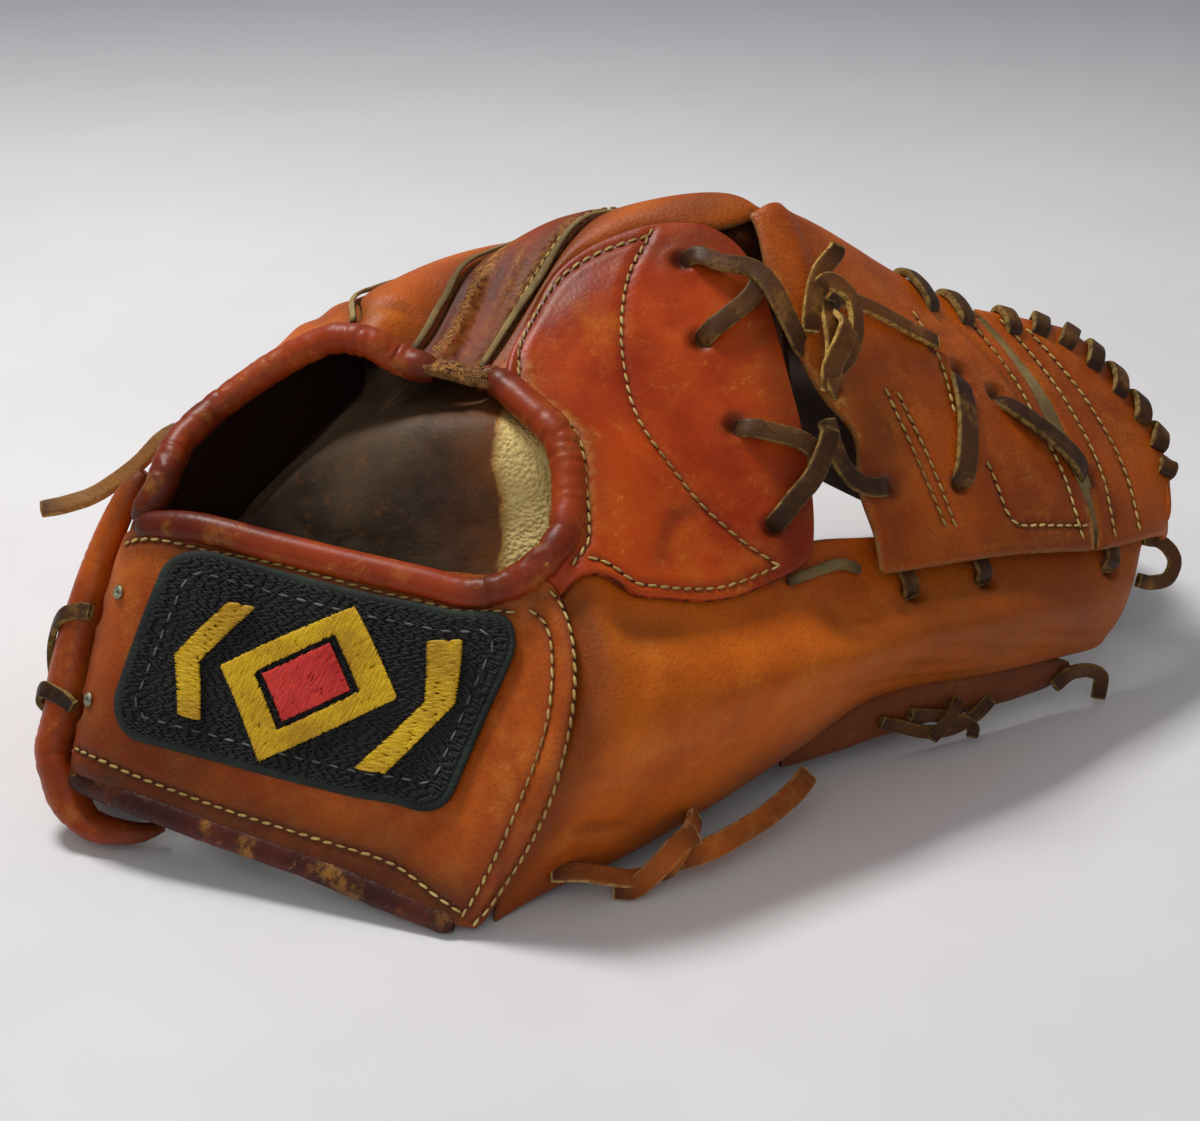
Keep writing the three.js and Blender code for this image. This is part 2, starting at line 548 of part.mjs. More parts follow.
// Laces. A list of several paths is one knot, joined where its turns touch.
const LACES = {
  crotch_lace_upper: {
    material: LACE,
    paths: [
      { steps: 9, path: [
        point(3.68, 4.0, -1.4), point(3.73, 3.95, 4.6), point(3.78, 3.8, 6.4), point(3.88, 3.68, 7.4),
        point(3.93, 3.56, 8.4), point(3.96, 3.42, 9), point(4.03, 3.27, 8), point(4.12, 3.25, 4) ] },
      { steps: 8, path: [
        point(3.55, 3.47, -1.4), point(3.62, 3.49, 4.6), point(3.71, 3.51, 6), point(3.83, 3.55, 6.4),
        point(3.92, 3.62, 7) ] },
    ],
  },
  crotch_lace_lower: {
    material: LACE,
    paths: [
      { steps: 9, path: [
        point(3.52, 2.96, -1.4), point(3.6, 2.91, 4.6), point(3.75, 2.84, 6), point(3.9, 2.78, 7),
        point(4.02, 2.71, 7), point(4.05, 2.62, 6) ] },
      { steps: 10, path: [
        point(3.62, 2.36, -1.4), point(3.7, 2.41, 4.6), point(3.81, 2.48, 6), point(3.96, 2.58, 8),
        point(4.08, 2.71, 9), point(4.16, 2.82, 9.5) ] },
      { steps: 8, path: [
        point(4.12, 2.86, 9.5), point(4.21, 2.7, 9), point(4.42, 2.6, 8.4), point(4.72, 2.58, 8),
        point(4.95, 2.6, 7), point(5.05, 2.62, 2) ] },
    ],
  },
  web_knot: {
    material: LACE,
    paths: [
      { steps: 5, width: 4.8, path: [
        point(4.18, 3.3, 8), point(4.24, 3.4, 9.5), point(4.42, 3.54, 11), point(4.7, 3.64, 12.5),
        point(4.89, 3.69, 13.5) ] },
      { steps: 8, width: 4, path: [
        point(4.26, 3.31, 8.4), point(4.3, 3.41, 11.5), point(4.45, 3.46, 12.6), point(4.82, 3.48, 12.6),
        point(4.88, 3.4, 11.5), point(4.55, 3.25, 10) ] },
      { steps: 6, width: 5, path: [
        point(4.46, 3.44, 9.6), point(4.38, 3.25, 10.4), point(4.3, 3.1, 9.6), point(4.36, 3.05, 8.2),
        point(4.5, 3.1, 2.4) ] },
      { steps: 6, width: 4, path: [
        point(4.45, 3.25, 11.6), point(4.78, 3.25, 13), point(4.6, 3.12, 13.4), point(4.34, 3.02, 12.4),
        point(4.26, 3.05, 10) ] },
      { steps: 5, width: 4.2, path: [
        point(4.5, 3.42, 9.4), point(4.9, 3.5, 9), point(5.21, 3.52, 8.2), point(5.46, 3.5, 7.2),
        point(5.66, 3.47, 6.8) ] },
    ],
  },
  web_slot_lace: {
    material: LACE,
    paths: [{ steps: 8, path: [
      point(5.78, 3.36, 2.2), point(5.72, 3.26, 6.6), point(5.66, 3, 7), point(5.58, 2.69, 6.6),
      point(5.55, 2.6, 2.2) ] }],
  },
  web_slant_lace: {
    material: LACE,
    paths: [{ steps: 8, path: [
      point(5.96, 3.26, 2.2), point(6.01, 3.16, 6.8), point(6.2, 2.93, 9.4), point(6.38, 2.72, 6.8),
      point(6.46, 2.62, 2.2) ] }],
  },
  web_edge_lace: {
    material: LACE,
    paths: whipTurns(), pegs: whipPegs,
  },
  web_thumb_lace_near: {
    material: LACE,
    paths: [{ steps: 6, path: [
      point(5.14, 2.12, 1.8), point(5.14, 1.96, 2), point(5.16, 1.84, 1.8), point(5.18, 1.76, -1.2) ] }],
  },
  web_thumb_lace_middle: {
    material: LACE,
    paths: [{ steps: 6, path: [
      point(5.72, 2.12, 1.8), point(5.72, 1.96, 2), point(5.74, 1.84, 1.8), point(5.76, 1.76, -1.2) ] }],
  },
  web_thumb_lace_far: {
    material: LACE,
    paths: [{ steps: 6, path: [
      point(6.72, 2.14, 1.8), point(6.72, 1.98, 2), point(6.73, 1.86, 1.8), point(6.75, 1.78, -1.2) ] }],
  },
  thumb_tip_loop: {
    material: LACE,
    paths: [{ steps: 12, width: 4, up: [0.3, -0.9, 0.3], path: [
      space(147, 65, 38.4), space(152.5, 65, 37), space(156, 64, 32.5), space(154, 61, 28.4),
      space(148.5, 58, 28.6), space(144.5, 57, 30) ] }],
  },
  thumb_tip_tail: {
    material: LACE,
    paths: [{ steps: 7, width: 4, up: [0, -1, 0.1], path: [
      space(119.5, 35.3, 9.6), space(124, 37.4, 12.4), space(129.5, 40.4, 11.6), space(133.6, 42.4, 8.8),
      space(134, 42.6, 5), space(133.6, 42, 2) ] }],
  },
  thumb_under_knot: {
    material: LACE,
    paths: [
      { steps: 7, width: 4.6, up: [0, -1, 0.2], path: [
        space(70, 9.6, 14.6), space(76, 11.6, 12), space(83, 14.6, 8.6), space(90, 18.4, 7.4),
        space(96, 21.6, 9), space(100.6, 24.6, 12.4) ] },
      { steps: 5, width: 4, up: [0, -1, 0.2], path: [
        space(76, 12.6, 15.6), space(84, 15.6, 13.6), space(91, 18.4, 10.6), space(96.6, 20.4, 6.8),
        space(96.6, 19.4, 3.2) ] },
      { steps: 4, width: 4, up: [0, -1, 0.2], path: [
        space(83, 13.2, 6), space(86.4, 14, 10.6), space(89.4, 16, 14.4), space(91.6, 19.4, 17) ] },
    ],
  },
  heel_knot: {
    material: TAN_LACE,
    paths: [
      { steps: 5, width: 4.4, thick: 2.2, up: [0, -0.6, 0.8], path: [
        space(-11, -45.4, 9), space(-4, -45.6, 9.4), space(2.5, -44, 7.2), space(8, -42, 5.2),
        space(14, -39, 5.4) ] },
      { steps: 5, width: 5, thick: 2.4, up: [0, -0.8, 0.4], path: [
        space(3, -43, 3.4), space(8, -43.4, 4), space(14, -41, 8.6), space(18, -38, 12),
        space(22, -35, 12.6) ] },
      { steps: 5, width: 5, thick: 2.4, up: [0.3, -0.9, 0.2], path: [
        space(13, -39.6, 4.6), space(16, -40.4, 8), space(19, -37, 11.6), space(21, -33, 12.4),
        space(22, -28, 12.6) ] },
      { steps: 6, width: 5.4, thick: 2.2, up: [0.2, -0.8, 0.5], path: [
        space(18, -38.4, 8), space(24.5, -35.6, 8.4), space(31, -30.4, 8.6), space(39, -24, 9.8),
        space(46, -17, 11.6), space(50, -12, 13.6) ] },
    ],
  },
  strap_end_lace: {
    material: LACE,
    paths: [
      { steps: 12, width: 4.2, path: [
        point(0.66, 7.5, 5), point(0.68, 7.66, 7.4), point(0.68, 7.86, 10.6), point(0.62, 8.1, 11),
        point(0.5, 8.26, 8.4), point(0.42, 8.2, 3) ] },
      { steps: 10, width: 4, path: [
        point(0.3, 8.26, 4), point(0.34, 8.1, 10.4), point(0.36, 7.9, 10.8), point(0.32, 7.68, 7.2),
        point(0.28, 7.56, 4.4) ] },
    ],
  },
  left_tail: {
    material: TAN_LACE,
    paths: [{ steps: 9, width: 4.4, thick: 2, up: [-0.2, -0.6, 0.8], path: [
      space(-103, 33, 84), space(-107, 31, 82), space(-112.6, 27, 77), space(-121.5, 23, 71.6),
      space(-128.5, 20.4, 69.8), space(-134.6, 19, 69) ] }],
  },
};

const STUDS = {
  eyelet_upper: { material: EYELET, s: 0.71, t: 7.02, lift: OVERLAP + GAP, radius: 2.1, high: 0.9 },
  eyelet_lower: { material: EYELET, s: 0.31, t: 7.2, lift: OVERLAP + GAP, radius: 2.1, high: 0.9 },
};

// The palm leather is padded at the heel and thin along its seams and at the web's notch.
const PALM_S = [0.02, 0.4, 0.8, 1.2, 1.6, 2, 2.4, 2.8, 3.3, 3.8, 4.3, 4.8, 5.4, 6, 6.6, 7.2, 7.6, 8];
const PALM_T = [0.04, 0.4, 0.9, 1.4, 2, 2.6, 3.2, 3.9, 4.6, 5.3, 6, 6.7, 7.4, 8, 8.5, 8.96];
const PALM_THIN = 3;
const PALM_PAD = 5;
const FLOOR = 0.4;

function palmThickness(s, t) {
  const heel = Math.max(0, 1 - s / 3.4);
  const middle = Math.min(1, t / 1.2, (9 - t) / 1.2);
  return PALM_THIN + PALM_PAD * heel * middle;
}

function layer(net, rows, columns, thickness, keep) {
  const grid = (below) => rows.map((s) => columns.map((t) => {
    const at = place(net, s, t, -below * thickness(s, t));
    if (below) at.z = Math.max(at.z, FLOOR);
    return at;
  }));
  return shell(grid(0), grid(1), keep);
}

function palm(grow = 0) {
  const keep = (i, j) => !(PALM_S[i] > 4.2 && PALM_T[j] > 1.9 && PALM_T[j] < 3.8);
  const thickness = (s, t) => palmThickness(s, t) + 2 * grow;
  return layer(palmNet(-grow, 6 + grow), PALM_S, PALM_T, thickness, keep);
}

// The lining covers the palm leather inside the hand, from the wrist to the crotch.
const LINING_RISE = 4.4;

function lining() {
  const net = palmNet(-LINING_RISE, 6 + LINING_RISE);
  return layer(net, PALM_S.slice(1, 10), PALM_T.slice(3, 13), () => LINING, () => true);
}

// The palm leather's fold under the thumb's seam
const THUMB_FOLD = {
  radius: 3.6, flat: 2.1, steps: 8, taper: 0.5,
  path: [
    space(44, -2.5, 10.4), space(56, 6, 12.6), space(70, 14.6, 14.6), space(86, 22, 15),
    space(104, 30.4, 14), space(124, 41.6, 11.4),
  ],
};

const bodies = {};
const materials = {};

// Adds a body after making room for it in the bodies named.
function fit(name, material, body, cutter, others = Object.keys(bodies)) {
  for (const other of others) bodies[other] = bodies[other].subtract(cutter);
  bodies[name] = body;
  materials[name] = material;
}

fit("palm_lining", LINING_SKIN, solid(lining()), null, []);
for (const [name, options] of Object.entries(PANELS)) {
  const raised = { ...options, lift: options.lift + GAP, thick: LEATHER + 2 * GAP };
  const under = name === "wrist_strap" ? ["thumb_back"] : [];
  fit(name, options.material, solid(panel(options)), under.length ? solid(panel(raised)) : null, under);
}
const palmBody = solid(palm()).add(solid(roll(THUMB_FOLD)));
const palmRoom = palmBody.add(solid(palm(GAP))).add(solid(roll(THUMB_FOLD, GAP)));
fit("palm_leather", PALM, palmBody, palmRoom, ["palm_lining", "thumb_back", "little_back", "wrist_strap"]);
for (const [name, options] of Object.entries(MOTIF)) {
  const shape = { ...options, lift: MOTIF_LIFT, thick: MOTIF_THICK, straight: true };
  const cutter = { ...shape, stations: options.hole, lift: MOTIF_LIFT + 1, thick: MOTIF_THICK + 2 };
  const body = options.hole ? solid(panel(shape)).subtract(solid(panel(cutter))) : solid(panel(shape));
  fit(name, options.material, body, null, []);
}
for (const [name, options] of Object.entries(ROLLS)) {
  fit(name, options.material, solid(roll(options)), solid(roll(options, GAP)));
}
for (const [name, options] of Object.entries(STUDS)) {
  fit(name, options.material, solid(stud(options)), solid(stud(options, GAP)));
}
for (const [name, { paths, pegs, material }] of Object.entries(LACES)) {
  const strips = (grow) => paths.map((path) => solid(lace(path, grow)));
  const body = joined([...strips(0), ...(pegs ? pegs(0) : [])]);
  if (pegs) {
    for (const leather of ["web_panel", "web_end"]) {
      bodies[leather] = bodies[leather].subtract(joined(pegs(GAP))).subtract(body);
    }
  }
  const others = Object.keys(bodies).filter((other) => !pegs || !["web_panel", "web_end"].includes(other));
  fit(name, material, body, joined(strips(GAP)), others);
}

const group = new THREE.Group();
group.name = "glove";

// Cutting leaves slivers thinner than this, which simplify takes out.
const SLIVER = 0.03;
for (const [name, body] of Object.entries(bodies)) {
  const mesh = biggest(body.simplify(SLIVER)).getMesh();
  const geometry = new THREE.BufferGeometry();
  geometry.setAttribute("position", new THREE.BufferAttribute(new Float32Array(mesh.vertProperties), 3));
  geometry.setIndex([...mesh.triVerts]);
  geometry.translate(SHIFT.x, SHIFT.y, SHIFT.z);
  geometry.computeVertexNormals();
  const node = new THREE.Mesh(geometry, materials[name]);
  node.name = name;
  group.add(node);
}

export default group;
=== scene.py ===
# %% [markdown]
# # A worn baseball infield glove
# The glove lies palm side down, cupped like a hand. The CAD solids come from model.glb, and this
# lesson dresses them: leather panels, rolled bindings, laces, stitches and a woven patch.
# Everything is in metres in one frame, with X from the wrist to the finger tips and Z up.

# %% Load the frame
import math

import bpy
import numpy as np
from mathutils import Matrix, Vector


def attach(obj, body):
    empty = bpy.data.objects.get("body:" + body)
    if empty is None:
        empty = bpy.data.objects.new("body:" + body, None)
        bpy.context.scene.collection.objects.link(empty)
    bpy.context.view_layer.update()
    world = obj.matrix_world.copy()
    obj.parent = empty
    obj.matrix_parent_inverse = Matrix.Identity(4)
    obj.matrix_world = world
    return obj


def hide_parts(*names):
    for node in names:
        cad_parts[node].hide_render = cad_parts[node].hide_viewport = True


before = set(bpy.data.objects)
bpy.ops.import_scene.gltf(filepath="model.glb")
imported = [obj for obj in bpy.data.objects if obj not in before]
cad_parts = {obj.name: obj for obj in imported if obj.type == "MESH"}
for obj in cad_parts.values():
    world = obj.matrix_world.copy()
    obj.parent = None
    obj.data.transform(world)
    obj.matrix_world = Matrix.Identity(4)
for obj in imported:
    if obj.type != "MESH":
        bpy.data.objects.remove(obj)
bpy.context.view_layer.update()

print("solids in the frame:", len(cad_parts))

# %% [markdown]
# A glove like this is a few flat hides bent over one rounded form. So one smooth skin is described
# first, as a table of sections in millimetres, and each hide is a patch of that skin. Rows run from
# the wrist to the finger tips. The columns are the thumb's seam, belly, shoulder, flank and ridge,
# then the index, middle and ring fingers, and the hand's side and edge. A smooth curve runs
# through the points both ways.

# %% The skin of the glove
SKIN = {
    "wrist": [(-27, -56, 0.5), (-38, -52, 2.5), (-50, -47.5, 5), (-66, -41.5, 8), (-83, -35, 11),
              (-97, -29.5, 13.5), (-109, -25, 15.5), (-119, -21, 17), (-126, -13, 14), (-129, -4, 6)],
    "top of the strap": [(-12, -45, 2.5), (-5, -46, 40), (-10, -22, 66), (-29, -17, 68.5), (-47, -13.5, 69),
                         (-66, -9, 70), (-85, -4, 71), (-105, 3, 71), (-118, 15, 51), (-129, 24, 8)],
    "middle of the opening": [(5, -37, 6), (11, -40, 44), (9, -19, 64), (-2, 0, 86), (-21, 6, 94),
                              (-43, 11, 97), (-69, 17, 96), (-96, 23, 88), (-112, 36, 62), (-126, 52, 7)],
    "arch of the opening": [(24, -24, 10), (27, -31, 43), (27.5, -11, 58.5), (12, 13, 87), (-18, 25, 101.5),
                            (-27, 29, 102), (-43.5, 34, 104), (-61, 37, 107.5), (-90, 62, 84), (-108, 92, 8)],
    "knuckles": [(49, -4, 15), (47, -19, 43), (48, 1, 58.5), (46, 28, 92), (34, 61, 125),
                 (-2, 70, 126), (-30, 66, 116.5), (-58, 60, 109.5), (-74, 92, 82), (-82, 116, 12)],
    "foot of the web": [(70, 12.5, 20), (72, -3, 43), (69, 13, 54.5), (62, 34, 84), (46, 68, 124),
                        (26, 86, 117), (-2, 100, 110), (-30, 108, 97), (-38, 126, 66), (-38, 136, 26)],
    "middle of the web": [(102, 26, 19), (103, 17, 39), (104, 33, 49), (104, 58, 70), (88, 90, 95),
                          (76, 108, 88), (60, 124, 79), (42, 136, 66), (34, 143, 52), (30, 143, 38)],
    "finger tips begin": [(130, 43.5, 15.5), (135, 43, 28), (142, 58, 38), (145, 82, 57), (130, 104, 78),
                          (136, 118, 62), (132, 133, 42), (119, 145, 24), (104, 149, 14), (96, 146, 8)],
    "finger tips end": [(135, 50, 15), (142, 56, 24), (146, 68, 33), (157, 73, 44), (141, 108, 66),
                        (147, 121, 48), (143, 138, 29), (131, 151, 12), (118, 155, 5), (108, 153, 2)],
}
SHIFT = np.array([-11.54, -48.7, -0.6])  # from the table's origin to the frame's
LEATHER = 2.2  # thickness of a hide
OVERLAP = LEATHER + 1.2  # lift of a hide that lies on another
WEB_TOP = LEATHER + OVERLAP  # lift of the web, which lies on both
FLOOR = 0.65  # lowest height of the palm


def smooth_weights(u):
    """Shares of four neighbours at a part u of the way between the middle two: a Catmull-Rom curve."""
    return np.stack([-u + 2*u**2 - u**3, 2 - 5*u**2 + 3*u**3, u + 4*u**2 - 3*u**3, u**3 - u**2]) / 2


def with_ends(net, axis):
    """A net carried on by one point past both ends, in line with the last two."""
    first = 2*np.take(net, [0], axis) - np.take(net, [1], axis)
    last = 2*np.take(net, [-1], axis) - np.take(net, [-2], axis)
    return np.concatenate([first, net, last], axis)


def smooth_list(rows, at):
    """Values on the smooth curve through a list, at positions 0, 1, 2 and between."""
    rows = np.asarray(rows, float)
    at = np.asarray(at, float)
    i = np.clip(np.floor(at).astype(int), 0, len(rows) - 2)
    w = smooth_weights(np.clip(at - i, 0, 1))
    ends = with_ends(rows, 0)
    return sum(w[k][..., None] * ends[i + k] for k in range(4))


def run_length(points):
    """How far along a path each of its points lies."""
    return np.r_[0, np.cumsum(np.linalg.norm(np.diff(points, axis=0), axis=1))]


class Surface:
    """A smooth surface through a net of points, by row position s and column position t."""

    def __init__(self, net):
        self.net = np.asarray(net, float)
        self.last = self.net.shape[0] - 1, self.net.shape[1] - 1
        self.ends = with_ends(with_ends(self.net, 0), 1)

    def point(self, s, t):
        s, t = np.broadcast_arrays(np.asarray(s, float), np.asarray(t, float))
        i = np.clip(np.floor(s).astype(int), 0, self.last[0] - 1)
        j = np.clip(np.floor(t).astype(int), 0, self.last[1] - 1)
        a = smooth_weights(np.clip(s - i, 0, 1))[..., None]
        b = smooth_weights(np.clip(t - j, 0, 1))[..., None]
        return sum(a[k] * sum(b[m] * self.ends[i + k, j + m] for m in range(4)) for k in range(4))

    def normal(self, s, t, step=0.02):
        s, t = np.broadcast_arrays(np.asarray(s, float), np.asarray(t, float))
        down = self.point(np.clip(s - step, 0, self.last[0]), t)
        up = self.point(np.clip(s + step, 0, self.last[0]), t)
        left = self.point(s, np.clip(t - step, 0, self.last[1]))
        right = self.point(s, np.clip(t + step, 0, self.last[1]))
        n = np.cross(up - down, right - left)
        return n / np.linalg.norm(n, axis=-1, keepdims=True)

    def place(self, s, t, lift):
        return self.point(s, t) + self.normal(s, t) * np.asarray(lift, float)[..., None]


skin = Surface(list(SKIN.values()))
KNUCKLES = list(SKIN).index("knuckles")
over_knuckles = run_length(skin.point(KNUCKLES, np.linspace(0, 9, 200)))[-1]
print("length of the skin over the knuckles, mm:", round(over_knuckles))

# %% [markdown]
# Materials are written as sums and products of values that change over the surface. A small class
# wraps a socket, so that `grain * 0.5 + stain` builds the Math nodes by itself. Colours are mixed
# with Mix nodes, since a Math node would turn them grey.

# %% Shader values
class Value:
    """A number that changes over the surface, as an output of a finish's node."""

    def __init__(self, finish, socket):
        self.finish, self.socket = finish, socket

    def math(self, operation, *others, clamp=False):
        values = [other.socket if isinstance(other, Value) else other for other in others]
        node = self.finish.node("ShaderNodeMath", {"operation": operation, "use_clamp": clamp}, self.socket, *values)
        return Value(self.finish, node.outputs[0])

    def __add__(self, other): return self.math("ADD", other)
    def __radd__(self, other): return self.math("ADD", other)
    def __mul__(self, other): return self.math("MULTIPLY", other)
    def __rmul__(self, other): return self.math("MULTIPLY", other)
    def __sub__(self, other): return self.math("SUBTRACT", other)
    def __rsub__(self, other): return (self * -1) + other
    def __pow__(self, other): return self.math("POWER", other)

    def clip(self): return self.math("ADD", 0.0, clamp=True)

    def between(self, low, high):
        """0 at low, 1 at high, smooth between."""
        node = self.finish.node("ShaderNodeMapRange", {"interpolation_type": "SMOOTHSTEP"},
                                self.socket, low, high, 0.0, 1.0)
        return Value(self.finish, node.outputs[0])


class Nodes:
    """A node tree that is written node by node."""

    def node(self, kind, settings=None, *values, **named):
        """A node with its inputs by place or by name, where _ stands for a space."""
        node = self.tree.nodes.new(kind)
        for key, setting in (settings or {}).items():
            setattr(node, key, setting)
        for key, value in [*enumerate(values), *named.items()]:
            if value is not None:
                self.plug(node.inputs[key.replace("_", " ") if isinstance(key, str) else key], value)
        return node

    def plug(self, socket, value):
        """Links an input to another node's output, or gives it a value of its own."""
        value = value.socket if isinstance(value, Value) else value
        if isinstance(value, bpy.types.NodeSocket):
            self.tree.links.new(value, socket)
        else:
            socket.default_value = value


class Finish(Nodes):
    """A material whose nodes are added one by one."""

    def __init__(self, name):
        self.material = bpy.data.materials.new(name)
        self.material.use_nodes = True
        self.tree = self.material.node_tree
        self.shader = self.tree.nodes["Principled BSDF"]
        self.object = self.node("ShaderNodeTexCoord").outputs["Object"]

    def stretched(self, x, y, z, turn=(0, 0, 0)):
        """Object coordinates turned and stretched, so that a pattern runs one way."""
        turned = self.node("ShaderNodeMapping", None, self.object, None, tuple(math.radians(a) for a in turn))
        return self.node("ShaderNodeMapping", None, turned.outputs[0], None, None, (x, y, z)).outputs[0]

    def noise(self, scale, detail, roughness, at=None):
        node = self.node("ShaderNodeTexNoise", None, Vector=at or self.object, Scale=scale, Detail=detail,
                         Roughness=roughness)
        return Value(self, node.outputs[0])

    def cells(self, scale, feature="F1", at=None):
        node = self.node("ShaderNodeTexVoronoi", {"feature": feature}, Vector=at or self.object, Scale=scale)
        return Value(self, node.outputs["Distance"])

    def bent(self, scale, amount):
        """Object coordinates pushed about by noise, so that a net of cells loses its straight lines."""
        push = self.node("ShaderNodeTexNoise", None, self.object, Scale=scale)
        small = self.node("ShaderNodeVectorMath", {"operation": "SCALE"}, push.outputs["Color"], Scale=amount)
        return self.node("ShaderNodeVectorMath", {"operation": "ADD"}, self.object, small.outputs[0]).outputs[0]

    def mask(self, name):
        return Value(self, self.node("ShaderNodeAttribute", {"attribute_name": name}).outputs["Fac"])

    def mix(self, factor, first, second):
        """A mixed colour. The Mix node has its colours at inputs 6 and 7 and its result at output 2."""
        node = self.node("ShaderNodeMix", {"data_type": "RGBA"}, factor)
        for index, colour in ((6, first), (7, second)):
            self.plug(node.inputs[index], (*colour, 1) if isinstance(colour, tuple) else colour)
        return node.outputs[2]

    def bump(self, height, distance, strength):
        node = self.node("ShaderNodeBump", None, Strength=strength, Distance=distance, Height=height)
        self.set(Normal=node.outputs[0])

    def set(self, **named):
        for key, value in named.items():
            self.plug(self.shader.inputs[key.replace("_", " ")], value)


def paint(red, green, blue):
    """A colour picked in 0 to 255 steps, as the shader's linear colour."""
    return tuple((c / 255 / 12.92) if c / 255 <= 0.04045 else ((c / 255 + 0.055) / 1.055) ** 2.4
                 for c in (red, green, blue))


# %% [markdown]
# Worn leather isn't one colour. Its dye has rubbed thin in clouds, dirt sits in the pores and in
# the seams, the gloss is broken, and the grain is a net of small pebbles. Each hide gets the same
# recipe with its own colours: clouds, pebbles, fine cracks and scuffs, and masks that the mesh
# carries for its seams, its dirt, its bare spots and its raw cut edges. The seam and dirt masks
# also carry painted shade, round the lace holes, in the fold valleys and along the thumb's lower
# edge, in the same dark colour as the dirt.

# %% Leather finish
# The first colour is the dark of dirt, which the masks also lay as painted shade.
GRIME_AND_SHADE, BARE_HIDE, FLESH_SIDE = (34, 18, 10), (212, 148, 62), (64, 44, 32)


def leather(name, base, dark, light, rough, coat, pebble=1.0, crack=0.3, scuff=0.3, cut=(140, 100, 56),
            scuff_colour=None):
    """The recipe with one hide's colours, in 0 to 255 steps."""
    f = Finish(name)
    clouds = f.noise(24, 5, 0.6)
    blotch = f.noise(85, 5, 0.65)
    pores = f.cells(850, at=f.stretched(1, 1, 1.35))
    fine = f.noise(1900, 2, 0.6)
    swell = f.noise(170, 4, 0.6)
    cracks = f.cells(150, "DISTANCE_TO_EDGE", at=f.bent(60, 0.012))
    crack_line = (1 - cracks.between(0.0, 0.05)) * blotch.between(0.5, 0.68)
    scratch = f.noise(45, 4, 0.75, at=f.stretched(1.2, 10, 10, (20, 35, 15)))
    rubbed = (scratch * 0.75 + fine * 0.25).between(0.57, 0.66) * blotch.between(0.42, 0.62)
    fray = f.noise(480, 4, 0.7).between(0.4, 0.58)
    seam, cut_edge, inside, dirt_and_shade, bare = (f.mask(key) for key in ("seam", "cut", "inside", "dirt_and_shade", "bare"))
    colour = f.mix(clouds.between(0.36, 0.64), paint(*dark), paint(*base))
    colour = f.mix(blotch.between(0.46, 0.8) * 0.45, colour, paint(*light))
    grime_and_shade = paint(*GRIME_AND_SHADE)
    colour = f.mix(((1 - pores.between(0.0, 0.55)) * 0.2 * pebble + crack_line * crack).clip(), colour, grime_and_shade)
    colour = f.mix(rubbed * scuff, colour, paint(*(scuff_colour or light)))
    # Dirt, with painted shade in the fold valleys and along the thumb's lower edge.
    colour = f.mix((dirt_and_shade * (blotch * 0.9 + 0.5)).clip(), colour, grime_and_shade)
    # Seams darken, and round each lace hole this is painted shade.
    colour = f.mix((seam * 0.6).clip(), colour, grime_and_shade)
    colour = f.mix((bare * (fray * 0.85 + 0.1)).clip(), colour, paint(*BARE_HIDE))
    colour = f.mix((cut_edge * (0.25 + fray * 0.7)).clip(), colour, paint(*cut))
    colour = f.mix(inside * 0.85, colour, paint(*FLESH_SIDE))
    height = (pores.between(0.0, 0.7) * 0.26 * pebble + fine * 0.07 + swell * 0.4 - crack_line * 0.8 * crack
              + bare * fray * 0.9)
    roughness = rough + clouds * 0.2 + fine * 0.12 + cut_edge * 0.35 + inside * 0.3 + rubbed * 0.15 - 0.16
    f.set(Base_Color=colour, Roughness=roughness, Specular_IOR_Level=0.2, Coat_Roughness=0.36,
          Coat_Weight=(1 - cut_edge) * (clouds.between(0.3, 0.6) * 0.6 + 0.4) * coat)
    f.bump(height, 0.00035, 0.7)
    return f.material


TAN = leather("tan_hide", (208, 102, 12), (182, 80, 8), (226, 134, 40), rough=0.5, crack=0.08, scuff=0.25, coat=0.04)
STRAP_TAN = leather("strap_hide", (206, 102, 24), (164, 70, 14), (224, 138, 60), rough=0.5, crack=0.08, scuff=0.3,
                    coat=0.06, cut=(104, 56, 24))
RED_BROWN = leather("red_brown_hide", (200, 74, 8), (160, 46, 4), (228, 126, 32), rough=0.42, pebble=0.5,
                    crack=0.08, scuff=0.5, coat=0.1, cut=(78, 36, 18), scuff_colour=(236, 146, 56))
WORN = leather("worn_hide", (166, 68, 18), (104, 36, 12), (206, 118, 40), rough=0.56, pebble=0.6, crack=0.5,
               scuff=0.6, coat=0.0, scuff_colour=(206, 132, 50))
TORN = leather("torn_hide", (104, 48, 22), (48, 22, 14), (190, 132, 74), rough=0.6, pebble=0.6, crack=1.2,
               scuff=1.0, coat=0.0, scuff_colour=(216, 180, 120))
ROLLED = leather("rolled_hide", (162, 58, 14), (98, 30, 10), (212, 108, 34), rough=0.42, pebble=0.3, crack=0.4,
                 scuff=0.8, coat=0.12, scuff_colour=(224, 138, 58))
HEEL_HIDE = leather("heel_hide", (208, 98, 22), (142, 54, 14), (216, 120, 42), rough=0.44, pebble=0.4, crack=0.4,
                    scuff=0.5, coat=0.1)
DARK_ROLLED = leather("dark_rolled_hide", (106, 38, 24), (58, 22, 16), (140, 68, 42), rough=0.5, crack=0.8,
                      scuff=0.7, coat=0.08, scuff_colour=(186, 124, 66))
